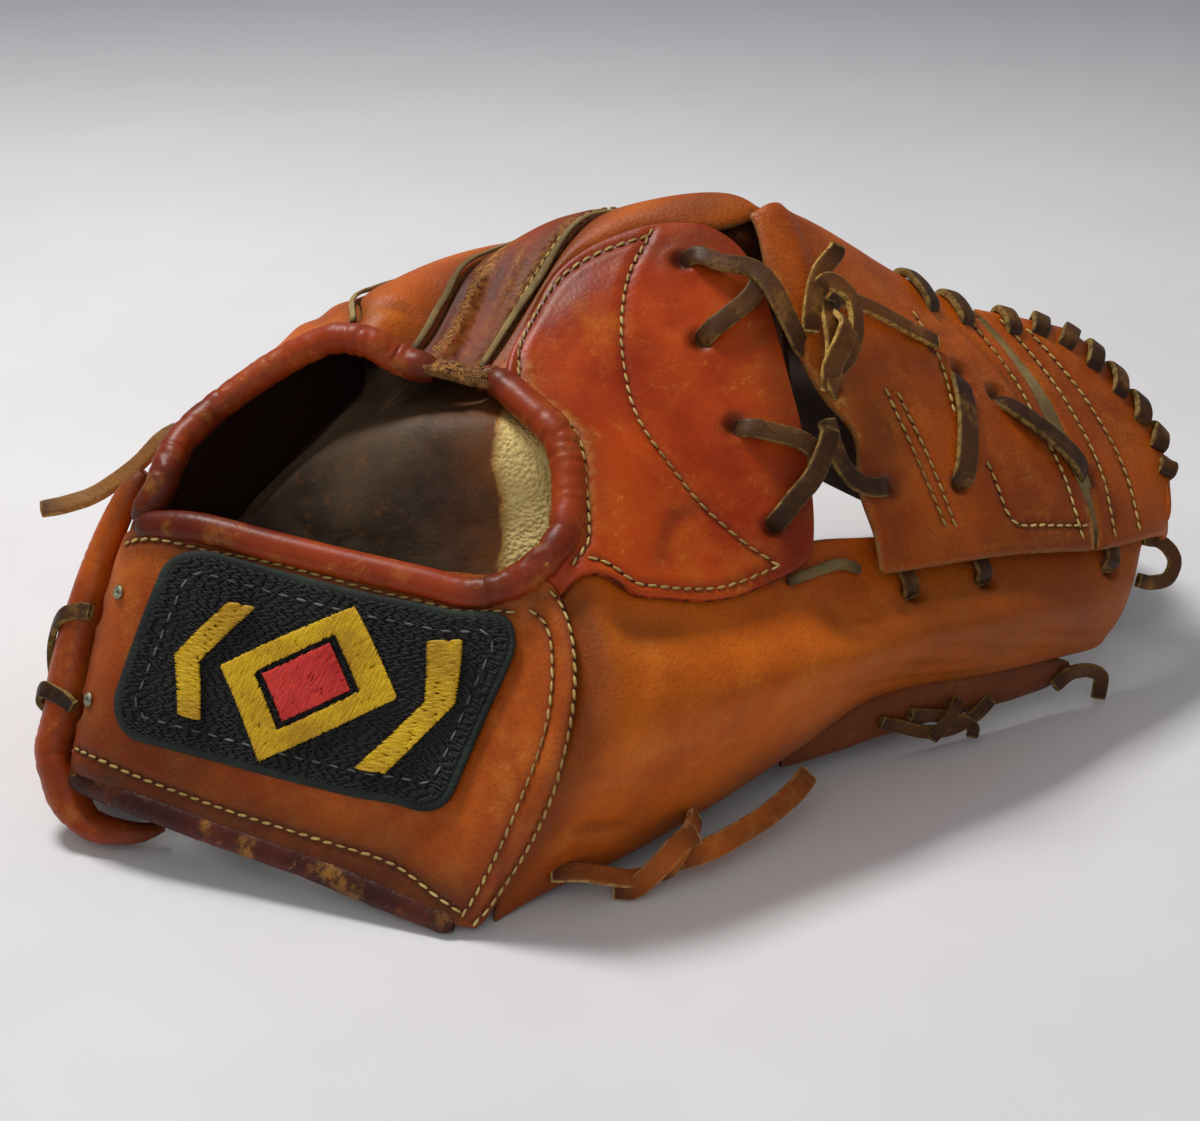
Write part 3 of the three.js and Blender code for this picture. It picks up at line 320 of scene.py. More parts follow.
# The palm's own brown, darkened further to its look in shade under the thumb: partly painted shade.
PALM_HIDE_SHADED = leather("palm_hide", (116, 56, 20), (72, 34, 14), (146, 84, 38), rough=0.6, crack=0.6, coat=0.03)
WEB_HIDE = leather("web_hide", (196, 90, 8), (154, 64, 6), (218, 126, 36), rough=0.44, scuff=0.45, coat=0.08)
SUEDE = leather("suede_welt", (168, 144, 94), (112, 90, 56), (200, 178, 128), rough=0.85, pebble=0.3, coat=0)
LACE_HIDE = leather("lace_hide", (86, 50, 20), (50, 28, 12), (128, 86, 38), rough=0.5, pebble=0.4, crack=0.6,
                    coat=0.06, scuff=0.6, cut=(150, 122, 64))
PALE_LACE = leather("pale_lace_hide", (116, 66, 24), (74, 40, 16), (162, 112, 50), rough=0.55, pebble=0.4, crack=0.6,
                    coat=0.04, scuff=0.7, cut=(204, 166, 86))
TAN_LACE = leather("tan_lace_hide", (186, 94, 24), (126, 60, 16), (212, 134, 54), rough=0.55, pebble=0.5, crack=0.6,
                   coat=0.04, cut=(206, 168, 104))
OLD_LACE = leather("old_lace_hide", (150, 98, 40), (88, 56, 24), (192, 150, 84), rough=0.6, crack=0.6, coat=0.02,
                   cut=(176, 140, 80))


def lining_leather():
    """The hand's side: dark from sweat, and worn through to a pale pebbled face along one band."""
    f = Finish("inside_hide")
    clouds, blotch, fine = f.noise(26, 5, 0.6), f.noise(110, 5, 0.7), f.noise(1500, 2, 0.6)
    pebbles = f.cells(900, at=f.bent(300, 0.0008))
    pits = 1 - pebbles.between(0.1, 0.6)
    specks = f.noise(300, 4, 0.7)
    pale, brown = f.mask("pale"), f.mask("brown")
    colour = f.mix(clouds.between(0.35, 0.65), paint(50, 38, 29), paint(98, 77, 57))
    colour = f.mix((brown * (blotch.between(0.35, 0.6) * 0.5 + 0.5)).clip(), colour, paint(122, 70, 30))
    colour = f.mix(specks.between(0.56, 0.7) * 0.5, colour, paint(126, 78, 34))
    colour = f.mix((pale * 6).clip() * (blotch.between(0.35, 0.55) * 0.6 + 0.4), colour, paint(176, 118, 48))
    cream = f.mix((pits * 0.25 + blotch.between(0.55, 0.75) * 0.3).clip(), paint(242, 214, 138), paint(190, 146, 72))
    colour = f.mix(pale, colour, cream)
    f.set(Base_Color=colour, Roughness=0.6 + fine * 0.15 - 0.08, Specular_IOR_Level=0.25)
    f.bump(pebbles.between(0.0, 0.8) * (pale * 0.8 + 0.12) + fine * 0.1, 0.0005, 0.7)
    return f.material


INSIDE_HIDE = lining_leather()
print("leather finishes:", len(bpy.data.materials))

# %% [markdown]
# A hide is a sheet about 2 mm thick. Its outer face is a fine grid on the skin, its inner face lies
# one thickness lower, and between them runs a rounded cut edge, lighter than the face because the
# dye never reached it. The grid carries masks for the material: where the cut edge is, where a seam
# draws the leather in and painted shade darkens round a lace hole, where dirt gathers and painted
# shade darkens the fold valleys, and where the dye has worn off.

# %% Meshes in the shared frame
def add_mesh(name, points, faces, finish, masks=None, smooth=True):
    """A closed mesh from points in millimetres, with its faces turned outward."""
    points = (np.asarray(points, float) + SHIFT) / 1000
    mesh = bpy.data.meshes.new(name)
    mesh.from_pydata(points.tolist(), [], [list(map(int, face)) for face in faces])
    if len(mesh.polygons) and signed_volume(mesh) < 0:
        mesh.flip_normals()
    for mask, values in (masks or {}).items():
        mesh.attributes.new(mask, "FLOAT", "POINT").data.foreach_set("value", np.asarray(values, np.float32).ravel())
    mesh.polygons.foreach_set("use_smooth", [smooth] * len(mesh.polygons))
    mesh.materials.append(finish)
    thing = bpy.data.objects.new(name, mesh)
    bpy.context.scene.collection.objects.link(thing)
    return thing


def signed_volume(mesh):
    """A number that is negative where the mesh's faces point inward."""
    mesh.calc_loop_triangles()
    corners = np.zeros(len(mesh.loop_triangles) * 3, int)
    mesh.loop_triangles.foreach_get("vertices", corners)
    co = np.zeros(len(mesh.vertices) * 3)
    mesh.vertices.foreach_get("co", co)
    a, b, c = co.reshape(-1, 3)[corners.reshape(-1, 3)].transpose(1, 0, 2)
    return np.einsum("ij,ij->i", a, np.cross(b, c)).sum()


def finish_piece(thing, slot, *nodes):
    """Rides on the glove and stands for its CAD solids. The slot it is given is not used."""
    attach(thing, "root")
    if nodes:
        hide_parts(*nodes)
    return thing


def hills(points, size, seed=0):
    """Smooth random heights from -1 to 1, with hills about size mm apart.

    Each corner of a lattice has a height made from its place alone, by a sine with many digits, and
    heights between the corners are blended. So the same point has the same height in every run.
    """
    p = np.asarray(points, float) / size + seed * 7.13
    cell = np.floor(p)
    f = p - cell
    f = f * f * (3 - 2 * f)
    total = 0
    for corner in np.ndindex(2, 2, 2):
        spot = (cell + corner) @ np.array([127.1, 311.7, 74.7])
        chance = np.modf(np.abs(np.sin(spot) * 43758.5453))[0] * 2 - 1
        total = total + chance * np.prod(np.where(corner, f, 1 - f), axis=-1)
    return total


BATCH = 4000


def nearest(points, path):
    """Distance to a dense path, and how far along it, from 0 to 1, in batches to save memory."""
    flat = points.reshape(-1, 3)
    distance, along = np.empty(len(flat)), np.empty(len(flat))
    for start in range(0, len(flat), BATCH):
        batch = slice(start, start + BATCH)
        gap = ((flat[batch, None] - path[None]) ** 2).sum(-1)
        distance[batch] = np.sqrt(gap.min(1))
        along[batch] = gap.argmin(1) / (len(path) - 1)
    return distance.reshape(points.shape[:-1]), along.reshape(points.shape[:-1])


def grid_faces(rows, columns):
    """The numbers of a grid's points, and its cells as faces."""
    ids = np.arange(rows * columns).reshape(rows, columns)
    return ids, np.stack([ids[:-1, :-1], ids[1:, :-1], ids[1:, 1:], ids[:-1, 1:]], -1)


RIM_LOOPS = 3


def leather_shell(name, outer, inner, finish, masks, bulge=0.55):
    """A closed sheet between two grids, with a rounded rim that bulges outward."""
    rows, columns = outer.shape[:2]
    around = ([(0, j) for j in range(columns)] + [(i, columns - 1) for i in range(1, rows)]
              + [(rows - 1, j) for j in range(columns - 2, -1, -1)] + [(i, 0) for i in range(rows - 2, 0, -1)])
    i, j = np.array(around).T
    top, bottom = outer[i, j], inner[i, j]
    away = top - outer[np.clip(i, 1, rows - 2), np.clip(j, 1, columns - 2)]
    away /= np.maximum(np.linalg.norm(away, axis=1, keepdims=True), 1e-9)
    middle, half = (top + bottom) / 2, (top - bottom) / 2
    thick = np.linalg.norm(half, axis=1, keepdims=True)
    turns = [math.pi * k / (RIM_LOOPS + 1) for k in range(1, RIM_LOOPS + 1)]
    rim = [middle + half * math.cos(a) + away * thick * math.sin(a) * bulge for a in turns]
    count, rim_count = rows * columns, RIM_LOOPS * len(i)
    ids, quads = grid_faces(rows, columns)
    quads = quads.reshape(-1, 4)
    loops = [ids[i, j], *(2 * count + np.arange(rim_count).reshape(RIM_LOOPS, -1)), count + ids[i, j]]
    faces = [quads, count + quads[:, ::-1]]
    for first, second in zip(loops, loops[1:]):
        faces.append(np.stack([first, np.roll(first, -1), np.roll(second, -1), second], -1))
    points = np.concatenate([outer.reshape(-1, 3), inner.reshape(-1, 3), *rim])
    values = {key: np.concatenate([value.ravel(), np.zeros(count), np.tile(value[i, j], RIM_LOOPS)])
              for key, value in masks.items()}
    values["cut"] = np.concatenate([np.zeros(2 * count), np.ones(rim_count)])
    values["inside"] = np.concatenate([np.zeros(count), np.ones(count), np.zeros(rim_count)])
    return add_mesh(name, points, np.concatenate(faces), finish, values)


# %% [markdown]
# Every hide of the back, as a table. A station is a line across the hide, from one edge to the
# other, by row and column of the skin. The CAD solids come from nearly the same stations, so a
# hide lies where its solid is.

# %% The hides of the back
TAN_SLOT, RED_SLOT, WORN_SLOT = "tan_leather", "red_brown_leather", "worn_leather"
HIDES = {
    "thumb_back": dict(finish=TAN, slot=TAN_SLOT, stations=[
        (0.3, 0.02, 0.86, 1.9), (0.8, 0.02, 1.12, 2.05), (1.5, 0.02, 1.5, 2.2), (3, 0.02, 3, 2.25),
        (4, 0.02, 4, 2.25), (5, 0.02, 5, 2.3), (6, 0.02, 6, 2.3), (7, 0.02, 7, 2.25), (8, 0.02, 8, 2.05)]),
    "crotch_panel": dict(finish=RED_BROWN, slot=RED_SLOT, lift=OVERLAP, stations=[
        (1.02, 2.5, 1.045, 1.96), (1.4, 2.6, 1.3, 2.02), (1.9, 3.0, 1.71, 2.03), (2.36, 3.6, 2.5, 2.03),
        (2.95, 4.16, 3.4, 2.06), (3.22, 4.6, 3.9, 2.12), (3.46, 4.8, 4.05, 2.3), (3.62, 4.72, 4, 2.8),
        (3.78, 4.44, 3.95, 3.3), (3.88, 4.12, 3.93, 3.75)]),
    "index_back": dict(finish=TAN, slot=TAN_SLOT, hump=1.7, stations=[
        (2.98, 4.14, 2.92, 4.97), (3.2, 4.64, 3.2, 4.97), (3.44, 4.84, 3.46, 4.96), (3.64, 4.76, 3.68, 4.97),
        (3.82, 4.46, 3.86, 4.97), (3.98, 4.12, 4.1, 4.97), (4.5, 4.04, 4.5, 4.97), (5.2, 4.04, 5.2, 4.97),
        (6, 4.04, 6, 4.97), (7, 4.04, 7, 4.94), (8, 4.04, 8, 4.95)]),
    "middle_back": dict(finish=WORN, slot=WORN_SLOT, hump=2.5, stations=[
        (2.92, 5.03, 2.92, 5.97), (4, 5.03, 4, 5.97), (5, 5.03, 5, 5.97), (6, 5.03, 6, 5.97),
        (7, 5.03, 7, 5.97), (8, 5.03, 8, 5.97)]),
    "ring_back": dict(finish=TAN, slot=TAN_SLOT, hump=1.7, stations=[
        (2.92, 6.03, 2.94, 6.97), (4, 6.03, 4, 6.97), (5, 6.03, 5, 6.97), (6, 6.03, 6, 6.97),
        (7, 6.03, 7, 6.97), (8, 6.03, 8, 6.97)]),
    "little_back": dict(finish=TAN, slot=TAN_SLOT, hump=1.0, stations=[
        (0.12, 7.72, 0.05, 8.98), (0.7, 7.6, 0.7, 8.98), (1.3, 7.08, 1.3, 8.98), (1.85, 7.12, 1.85, 8.98),
        (2.4, 7.25, 2.4, 8.98), (2.9, 7.03, 2.9, 8.98), (4, 7.03, 4, 8.98), (5, 7.03, 5, 8.98), (6, 7.03, 6, 8.98),
        (7, 7.03, 7, 8.98), (8, 7.03, 8, 8.98)]),
    "wrist_strap": dict(finish=STRAP_TAN, slot=TAN_SLOT, lift=OVERLAP, stations=[
        (0.03, 0.12, 0.03, 7.5), (0.25, 0.33, 0.25, 7.52), (0.5, 0.58, 0.5, 7.5), (0.75, 0.84, 0.72, 7.42),
        (0.93, 1.1, 0.86, 7.36), (1.05, 1.5, 0.93, 7.3), (1.0, 2.1, 1.0, 7.22)]),
    "web_panel": dict(finish=WEB_HIDE, slot=TAN_SLOT, lift=WEB_TOP, stations=[
        (4.86, 1.98, 6.5, 1.98), (4.86, 2.3, 6.47, 2.3), (4.76, 2.6, 6.36, 2.65), (4.82, 2.92, 6.28, 3),
        (4.36, 3.02, 6.26, 3.15), (4.12, 3.2, 6.26, 3.35), (3.98, 3.6, 6.22, 3.65), (4.1, 3.99, 6.15, 3.95)]),
    "web_end": dict(finish=WEB_HIDE, slot=TAN_SLOT, lift=WEB_TOP, stations=[
        (6.53, 1.98, 7.78, 2.36), (6.5, 2.3, 7.84, 2.68), (6.44, 2.65, 7.68, 2.98), (6.36, 3, 7.46, 3.23),
        (6.34, 3.35, 7.28, 3.53), (6.3, 3.65, 7.1, 3.83), (6.24, 3.95, 6.9, 4.05)]),
    "opening_binding_worn": dict(finish=TORN, slot=WORN_SLOT, lift=3.4, thick=3, pitch=0.6, torn=0.9, stations=[
        (2.67, 4.26, 2.7, 5.56), (2.78, 4.2, 2.78, 5.6), (2.9, 4.26, 2.88, 5.56)]),
}

# %% [markdown]
# Seams next, because they shape the hides: a row of stitches pulls the leather into a shallow
# channel. Each row is a path on the skin with the height of the hide that it runs over.

# %% Rows of stitches
SEAMS = {
    "strap_outer": dict(lift=OVERLAP, path=[(1.02, 2.02), (1.06, 1.64), (1.03, 1.33), (0.91, 1.06), (0.71, 0.81),
                                            (0.41, 0.55), (0.12, 0.3)]),
    "strap_inner": dict(lift=OVERLAP, path=[(0.9, 2.06), (0.93, 1.75), (0.88, 1.44), (0.78, 1.24), (0.6, 1.05),
                                            (0.36, 0.82), (0.14, 0.6)]),
    "strap_top": dict(lift=OVERLAP, path=[(0.86, 2.3), (0.86, 2.7), (0.9, 3.76), (0.95, 5.3), (0.95, 6.3),
                                          (0.93, 7.1)]),
    "strap_bottom": dict(lift=OVERLAP, path=[(0.12, 7.3), (0.1, 6.2), (0.09, 4.6), (0.1, 3), (0.11, 1.5), (0.13, 0.7)]),
    "opening_right": dict(lift=OVERLAP, path=[(1.26, 2.16), (1.5, 2.36), (1.72, 2.66), (1.94, 3.04), (2.22, 3.42),
                                              (2.6, 3.74), (2.94, 4.0)]),
    "red_curve": dict(lift=OVERLAP, path=[(3.75, 4.35), (3.55, 4.15), (3.36, 3.75), (3.24, 3.5), (3.01, 3.08),
                                          (3.0, 2.81), (3.1, 2.58), (3.35, 2.34), (3.62, 2.16)]),
    "red_bottom": dict(lift=OVERLAP, path=[(1.42, 2.16), (1.76, 2.12), (2.25, 2.09), (2.79, 2.1), (3.28, 2.12),
                                           (3.62, 2.14)]),
    "red_top": dict(lift=OVERLAP, path=[(2.99, 4.05), (3.14, 4.34), (3.32, 4.62), (3.46, 4.7), (3.58, 4.6),
                                        (3.72, 4.34)]),
    "web_left": dict(lift=WEB_TOP, path=[(5.62, 3.62), (5.66, 3.4), (5.63, 3.11)]),
    "web_double_a": dict(lift=WEB_TOP, path=[(5.22, 3.16), (5.3, 2.8), (5.42, 2.33)]),
    "web_double_b": dict(lift=WEB_TOP, path=[(5.3, 3.15), (5.38, 2.8), (5.49, 2.32)]),
    "web_low": dict(lift=WEB_TOP, path=[(5.76, 2.74), (5.9, 2.3), (6.14, 2.24), (6.42, 2.22)]),
    "web_seam": dict(lift=WEB_TOP, path=[(6.06, 3.86), (6.16, 3.4), (6.19, 3), (6.29, 2.6), (6.4, 2.12)]),
    "web_end_a": dict(lift=WEB_TOP, path=[(6.36, 3.84), (6.44, 3.4), (6.48, 3), (6.56, 2.6), (6.64, 2.14)]),
    "web_end_b": dict(lift=WEB_TOP, path=[(6.52, 3.8), (6.6, 3.4), (6.66, 3), (6.76, 2.6), (6.86, 2.2)]),
    "middle_welt_row": dict(lift=0.5, path=[(3.02, 5.08), (3.4, 5.09), (3.9, 5.08), (4.6, 5.07)]),
}
LACE_HOLES = [(3.69, 3.98, OVERLAP), (3.57, 3.47, OVERLAP), (3.54, 2.95, OVERLAP), (3.64, 2.37, OVERLAP),
              (4.5, 3.1, WEB_TOP), (5.66, 3.47, WEB_TOP), (5.05, 2.62, WEB_TOP), (5.77, 3.35, WEB_TOP),
              (5.55, 2.61, WEB_TOP), (5.96, 3.25, WEB_TOP), (6.46, 2.63, WEB_TOP), (5.18, 1.76, 0), (5.76, 1.76, 0),
              (6.75, 1.78, 0), (0.66, 7.46, OVERLAP), (0.28, 7.5, OVERLAP)]
SEAM_STEP = 0.4


def seam_line(row):
    """Points and normals on the skin along a row of stitches, SEAM_STEP mm apart."""
    steps = np.linspace(0, len(row["path"]) - 1, 400)
    s, t = smooth_list(row["path"], steps).T
    length = run_length(skin.place(s, t, row["lift"]))
    even = np.interp(np.arange(0, length[-1], SEAM_STEP), length, steps)
    s, t = smooth_list(row["path"], even).T
    return skin.place(s, t, row["lift"]), skin.normal(s, t)


SEAM_LINES = {name: seam_line(row) for name, row in SEAMS.items()}
print("rows of stitches:", len(SEAM_LINES))

# %% [markdown]
# Folds are also a table: a path on the skin, a depth and a width. Use has bent the leather at the
# thumb, at the foot of the strap and over the knuckles, and each fold there is a valley with two
# soft banks, or a ridge where its depth is negative. Each valley is also darkened in colour, as
# painted shade. Dirt follows the edges where hands rub; the dark band along the thumb's lower edge
# is painted shade, and the broad band toward the thumb's tip and those along the strap's lower edge
# only darken the leather there. The bare bands are where the dye has worn off.

# %% Folds, dirt and painted shade
FOLDS = [
    dict(depth=0.6, width=2.6, path=[(6.6, 0.25), (5.9, 0.5), (5.3, 0.85), (4.8, 1.25)]),
    dict(depth=0.5, width=2.0, path=[(6.4, 0.15), (5.6, 0.38), (5.1, 0.66), (4.7, 0.9)]),
    dict(depth=0.45, width=1.6, path=[(6.1, 0.1), (5.4, 0.22), (4.9, 0.42), (4.5, 0.6)]),
    dict(depth=0.35, width=1.5, path=[(7.0, 0.5), (6.4, 0.62), (5.8, 0.85), (5.3, 1.2)]),
    dict(depth=0.25, width=1.2, path=[(6.9, 0.8), (6.4, 0.95), (5.9, 1.1)]),
    dict(depth=0.25, width=1.0, path=[(5.9, 0.7), (5.75, 1.0), (5.7, 1.3)]),
    dict(depth=1.2, width=5.0, path=[(4.2, 1.9), (4.5, 1.5), (4.9, 1.25)]),
    dict(depth=0.5, width=1.6, path=[(4.3, 1.7), (4.75, 1.55), (5.1, 1.6)]),
    dict(depth=0.5, width=2.0, path=[(7.4, 0.2), (6.8, 0.4), (6.1, 0.9)]),
    dict(depth=0.9, width=4.0, path=[(1.3, 1.7), (1.9, 1.75), (2.6, 1.85)]),
    dict(depth=0.6, width=2.5, path=[(1.0, 0.5), (1.6, 0.35), (2.2, 0.3)]),
    dict(depth=0.5, width=1.4, path=[(0.5, 0.9), (0.4, 0.62), (0.2, 0.36)]),
    dict(depth=0.9, width=3.0, path=[(3.2, 7.3), (3.6, 7.5), (4.1, 7.9)]),
    dict(depth=0.8, width=2.5, path=[(2.4, 7.6), (2.8, 7.9), (3.3, 8.3)]),
    dict(depth=0.7, width=2.2, path=[(3.25, 6.2), (3.4, 6.5), (3.45, 6.85)]),
    dict(depth=-1.0, width=1.1, path=[(2.96, 5.7), (3.2, 5.69), (3.5, 5.72), (3.7, 5.73)]),
    dict(depth=0.55, width=1.8, path=[(2.98, 5.5), (3.3, 5.48), (3.6, 5.5), (4.0, 5.46)]),
    dict(depth=0.4, width=1.6, path=[(2.98, 5.3), (3.4, 5.27), (3.8, 5.3), (4.2, 5.26)]),
    dict(depth=0.4, width=1.2, path=[(3.1, 5.86), (3.5, 5.88), (3.9, 5.9)]),
    dict(depth=0.5, width=1.2, path=[(5.1, 3.6), (5.5, 3.5), (5.9, 3.6)]),
    dict(depth=0.6, width=1.6, path=[(5.9, 3.7), (6.1, 3.4), (6.14, 3.0)]),
    dict(depth=0.2, width=2.0, path=[(2.2, 2.2), (2.6, 2.5), (3.2, 2.6)]),
]
DIRT_AND_SHADE = [
    # The first two bands: darker along the strap's lower edge.
    dict(width=9, strength=0.75, lift=OVERLAP, path=[(0.04, 7.4), (0.04, 5), (0.05, 3), (0.08, 0.8)]),
    dict(width=16, strength=0.5, lift=OVERLAP, path=[(0.1, 7.2), (0.12, 6.3), (0.1, 5)]),
    dict(width=5, strength=0.55, lift=OVERLAP, path=[(0.95, 7), (0.97, 5), (0.9, 3), (0.95, 2.2)]),
    dict(width=3, strength=0.5, lift=OVERLAP, path=[(0.2, 7.4), (0.5, 7.42), (0.8, 7.36)]),
    dict(width=5, strength=0.5, lift=0, path=[(1.1, 1.9), (1.18, 1.5), (1.05, 1.0), (0.6, 0.5), (0.2, 0.1)]),
    dict(width=6, strength=0.65, lift=0, path=[(3, 5), (4, 5), (6, 5), (8, 5)]),
    dict(width=6, strength=0.6, lift=0, path=[(3, 6), (4, 6), (6, 6), (8, 6)]),
    dict(width=6, strength=0.5, lift=0, path=[(3, 7), (4, 7), (6, 7), (8, 7)]),
    dict(width=8, strength=0.5, lift=0, path=[(3.3, 4.6), (3.9, 4.4), (4.5, 4.3)]),
    # Painted shade along the thumb's lower edge.
    dict(width=10, strength=0.5, lift=0, path=[(0.2, 0.05), (2, 0.05), (4, 0.05), (8, 0.05)]),
    # Darker toward the thumb's tip.
    dict(width=30, strength=0.46, lift=0, path=[(5.4, 1.0), (6.6, 1.1), (7.8, 1.2)]),
    dict(width=7, strength=0.5, lift=OVERLAP, path=[(3.7, 4.2), (3.9, 3.8), (3.94, 3.2), (3.98, 2.6), (3.8, 2.15)]),
    dict(width=6, strength=0.4, lift=OVERLAP, path=[(1.4, 2.5), (2, 3.2), (2.9, 4.1)]),
    dict(width=6, strength=0.4, lift=WEB_TOP, path=[(6.9, 4), (7.2, 3.5), (7.6, 2.9)]),
    dict(width=10, strength=0.35, lift=WEB_TOP, path=[(4.7, 3.4), (5, 3.1), (4.9, 2.6)]),
]
BARE = [
    dict(width=2.2, strength=1.0, lift=2.2, path=[(2.96, 5.7), (3.2, 5.69), (3.5, 5.72), (3.8, 5.74), (4.1, 5.7)]),
    dict(width=1.6, strength=0.7, lift=2.2, path=[(2.98, 5.36), (3.3, 5.32), (3.7, 5.36)]),
    dict(width=1.4, strength=0.6, lift=1.2, path=[(2.98, 5.12), (3.4, 5.13), (4, 5.12)]),
    dict(width=1.5, strength=0.9, lift=WEB_TOP, path=[(6.2, 3.86), (6.3, 3.4), (6.33, 3), (6.42, 2.6), (6.51, 2.0)]),
    dict(width=1.6, strength=0.6, lift=WEB_TOP, path=[(4.0, 3.6), (4.14, 3.2), (4.38, 3.02), (4.8, 2.9)]),
    dict(width=2.0, strength=0.5, lift=OVERLAP, path=[(3.0, 3.95), (2.6, 3.7), (2.2, 3.36), (1.9, 2.96), (1.6, 2.56)]),
    dict(width=2.5, strength=0.6, lift=OVERLAP, path=[(2.78, 4.2), (2.78, 4.6), (2.78, 5.1), (2.78, 5.6)]),
    dict(width=2.4, strength=0.8, lift=WEB_TOP, path=[(4.46, 3.2), (4.5, 3.1), (4.56, 3.02)]),
]
SEAM_REACH = 6
PUCKER_PITCH = 3.4


def near_path(points, path, lift):
    """Distance to a path on the skin, and how far along it."""
    s, t = smooth_list(path, np.linspace(0, len(path) - 1, 160)).T
    return nearest(points, skin.place(s, t, lift))


def dome(distance, width, away=0.0, power=2):
    """1 at one distance, and falling softly to 0 on both sides of it."""
    return np.exp(-((distance - away) / width) ** power)


def banded(points, mask, bands):
    """A mask with soft bands along paths on the skin."""
    for band in bands:
        distance, _ = near_path(points, band["path"], band["lift"])
        mask = np.maximum(mask, band["strength"] * dome(distance, band["width"]))
    return mask


def relief(points, lift):
    """Height and masks of a hide: seams, folds, dirt, painted shade in the fold valleys and round the lace holes, and
    small unevenness.
    """
    height = 0.16 * hills(points, 19) + 0.05 * hills(points, 7, 2)
    seam, dirt_and_shade, bare = np.zeros((3, *points.shape[:-1]))
    for line, _ in SEAM_LINES.values():
        distance, along = nearest(points, line[::3])
        if distance.min() > SEAM_REACH:
            continue
        pucker = 1 + 0.35 * np.cos(along * len(line) * SEAM_STEP / PUCKER_PITCH * 2 * math.pi)
        height = height - 0.4 * pucker * dome(distance, 1.1) + 0.12 * dome(distance, 1.2, 2.6)
        seam = np.maximum(seam, dome(distance, 0.8))
    for hole in LACE_HOLES:
        distance = np.linalg.norm(points - skin.place(*hole), axis=-1)
        height = height - 1.5 * dome(distance, 2.4, power=4) + 0.3 * dome(distance, 1.4, 4)
        # Darker round each lace hole: painted shade of the hole.
        seam = np.maximum(seam, 1.4 * dome(distance, 3.0))
    for fold in FOLDS:
        distance, along = near_path(points, fold["path"], lift)
        fade = np.sin(np.clip(along, 0.02, 0.98) * math.pi) ** 0.6
        valley, banks = dome(distance, fold["width"]), dome(distance, fold["width"], 2 * fold["width"])
        height = height + fade * fold["depth"] * (0.35 * banks - valley)
        # The valleys darken too: painted shade in the creases.
        dirt_and_shade = np.maximum(dirt_and_shade, 0.4 * fade * valley * (fold["depth"] > 0))
    return height, {"seam": seam, "dirt_and_shade": banded(points, dirt_and_shade, DIRT_AND_SHADE), "bare": banded(points, bare, BARE)}


def hide_places(stations, steps, across):
    """A grid over a hide, by row and column of the skin, and how far across it each column lies."""
    rows = smooth_list(stations, np.linspace(0, len(stations) - 1, steps + 1))
    f = np.linspace(0, 1, across + 1)
    s = rows[:, 0:1] + (rows[:, 2:3] - rows[:, 0:1]) * f
    t = rows[:, 1:2] + (rows[:, 3:4] - rows[:, 1:2]) * f
    return s, t, f


def hide(name, finish, slot, stations, lift=0.0, hump=0.0, thick=LEATHER, pitch=1.1, torn=0.0):
    """One hide, padded up by a hump in its middle and, where it is torn, ragged and rough."""
    s, t, _ = hide_places(stations, 24, 12)
    rough = skin.point(s, t)
    length = np.linalg.norm(np.diff(rough, axis=0), axis=-1).sum(0).max()
    width = np.linalg.norm(np.diff(rough, axis=1), axis=-1).sum(1).max()
    s, t, f = hide_places(stations, round(length / pitch), round(width / pitch))
    u = np.linspace(0, 1, s.shape[0])[:, None]
    s = s + 0.035 * torn * hills(skin.point(s, t), 5, 6)
    swell = np.minimum(1, np.minimum((1 - u) * 4, u * 2.5))
    base = skin.place(s, t, lift + hump * (1 - (2 * f[None] - 1) ** 2) * swell)
    normal = skin.normal(s, t)
    height, masks = relief(base, lift)
    edge = np.minimum(np.minimum(f * width, (1 - f) * width), np.minimum(u * length, (1 - u) * length))
    ragged = np.abs(hills(base, 4, 1)) + 0.7 * np.abs(hills(base, 1.6, 5))
    height = height - 0.45 * dome(edge, 1.2) - torn * ragged
    thing = leather_shell(name, base + normal * height[..., None], base - normal * thick, finish, masks)
    finish_piece(thing, slot, name)
    print(name, "mm:", round(length), "x", round(width), "faces:", len(thing.data.polygons))


for name, facts in HIDES.items():
    hide(name, **facts)

# %% [markdown]
# The edges of the hand opening, of the strap and of the heel are bound: a strip of hide is rolled
# round each edge and sewn down. A roll is a tube along a path, not quite even, with small creases
# across it where it turns. Laces are flat strips of rawhide: the same kind of sweep, with an almost
# rectangular section and pale edges where the strip was cut from the hide.

# %% Sweeps along a path
def spot(s, t, lift):
    """A point on the skin with its normal, as six numbers."""
    return (*skin.place(s, t, lift), *skin.normal(s, t))


def space(x, y, z, up=(0, 0, 1)):
    """A point in the table's own space with its up direction."""
    return (x, y, z, *up)


FIRM = 0.35


def across_path(at, up):
    """Directions across a path, carried on where the path runs so near to up that up says little."""
    ahead = np.gradient(at, axis=0)
    ahead /= np.linalg.norm(ahead, axis=1, keepdims=True)
    raw = np.cross(ahead, up / np.linalg.norm(up, axis=1, keepdims=True))
    firm = np.argmax(np.linalg.norm(raw, axis=1) > FIRM)
    held = raw[firm] / np.linalg.norm(raw[firm])
    sides = []
    for i, side in enumerate(raw):
        size = np.linalg.norm(side)
        if size > FIRM:
            sign = -1 if i > firm and side @ held < 0 else 1
            held = held * 0.6 + side / size * sign * 0.4 if i > firm else side / size
        across = held - ahead[i] * (held @ ahead[i])
        held = across / np.linalg.norm(across)
        sides.append(held)
    sides = np.array(sides)
    return ahead, sides, np.cross(sides, ahead)


CREASE_PITCH, CREASE_LENGTH = 2.4, 9  # along a sweep and round it, in mm
SHARP_BEND = 0.045  # radians in a mm, from where creases are at their deepest


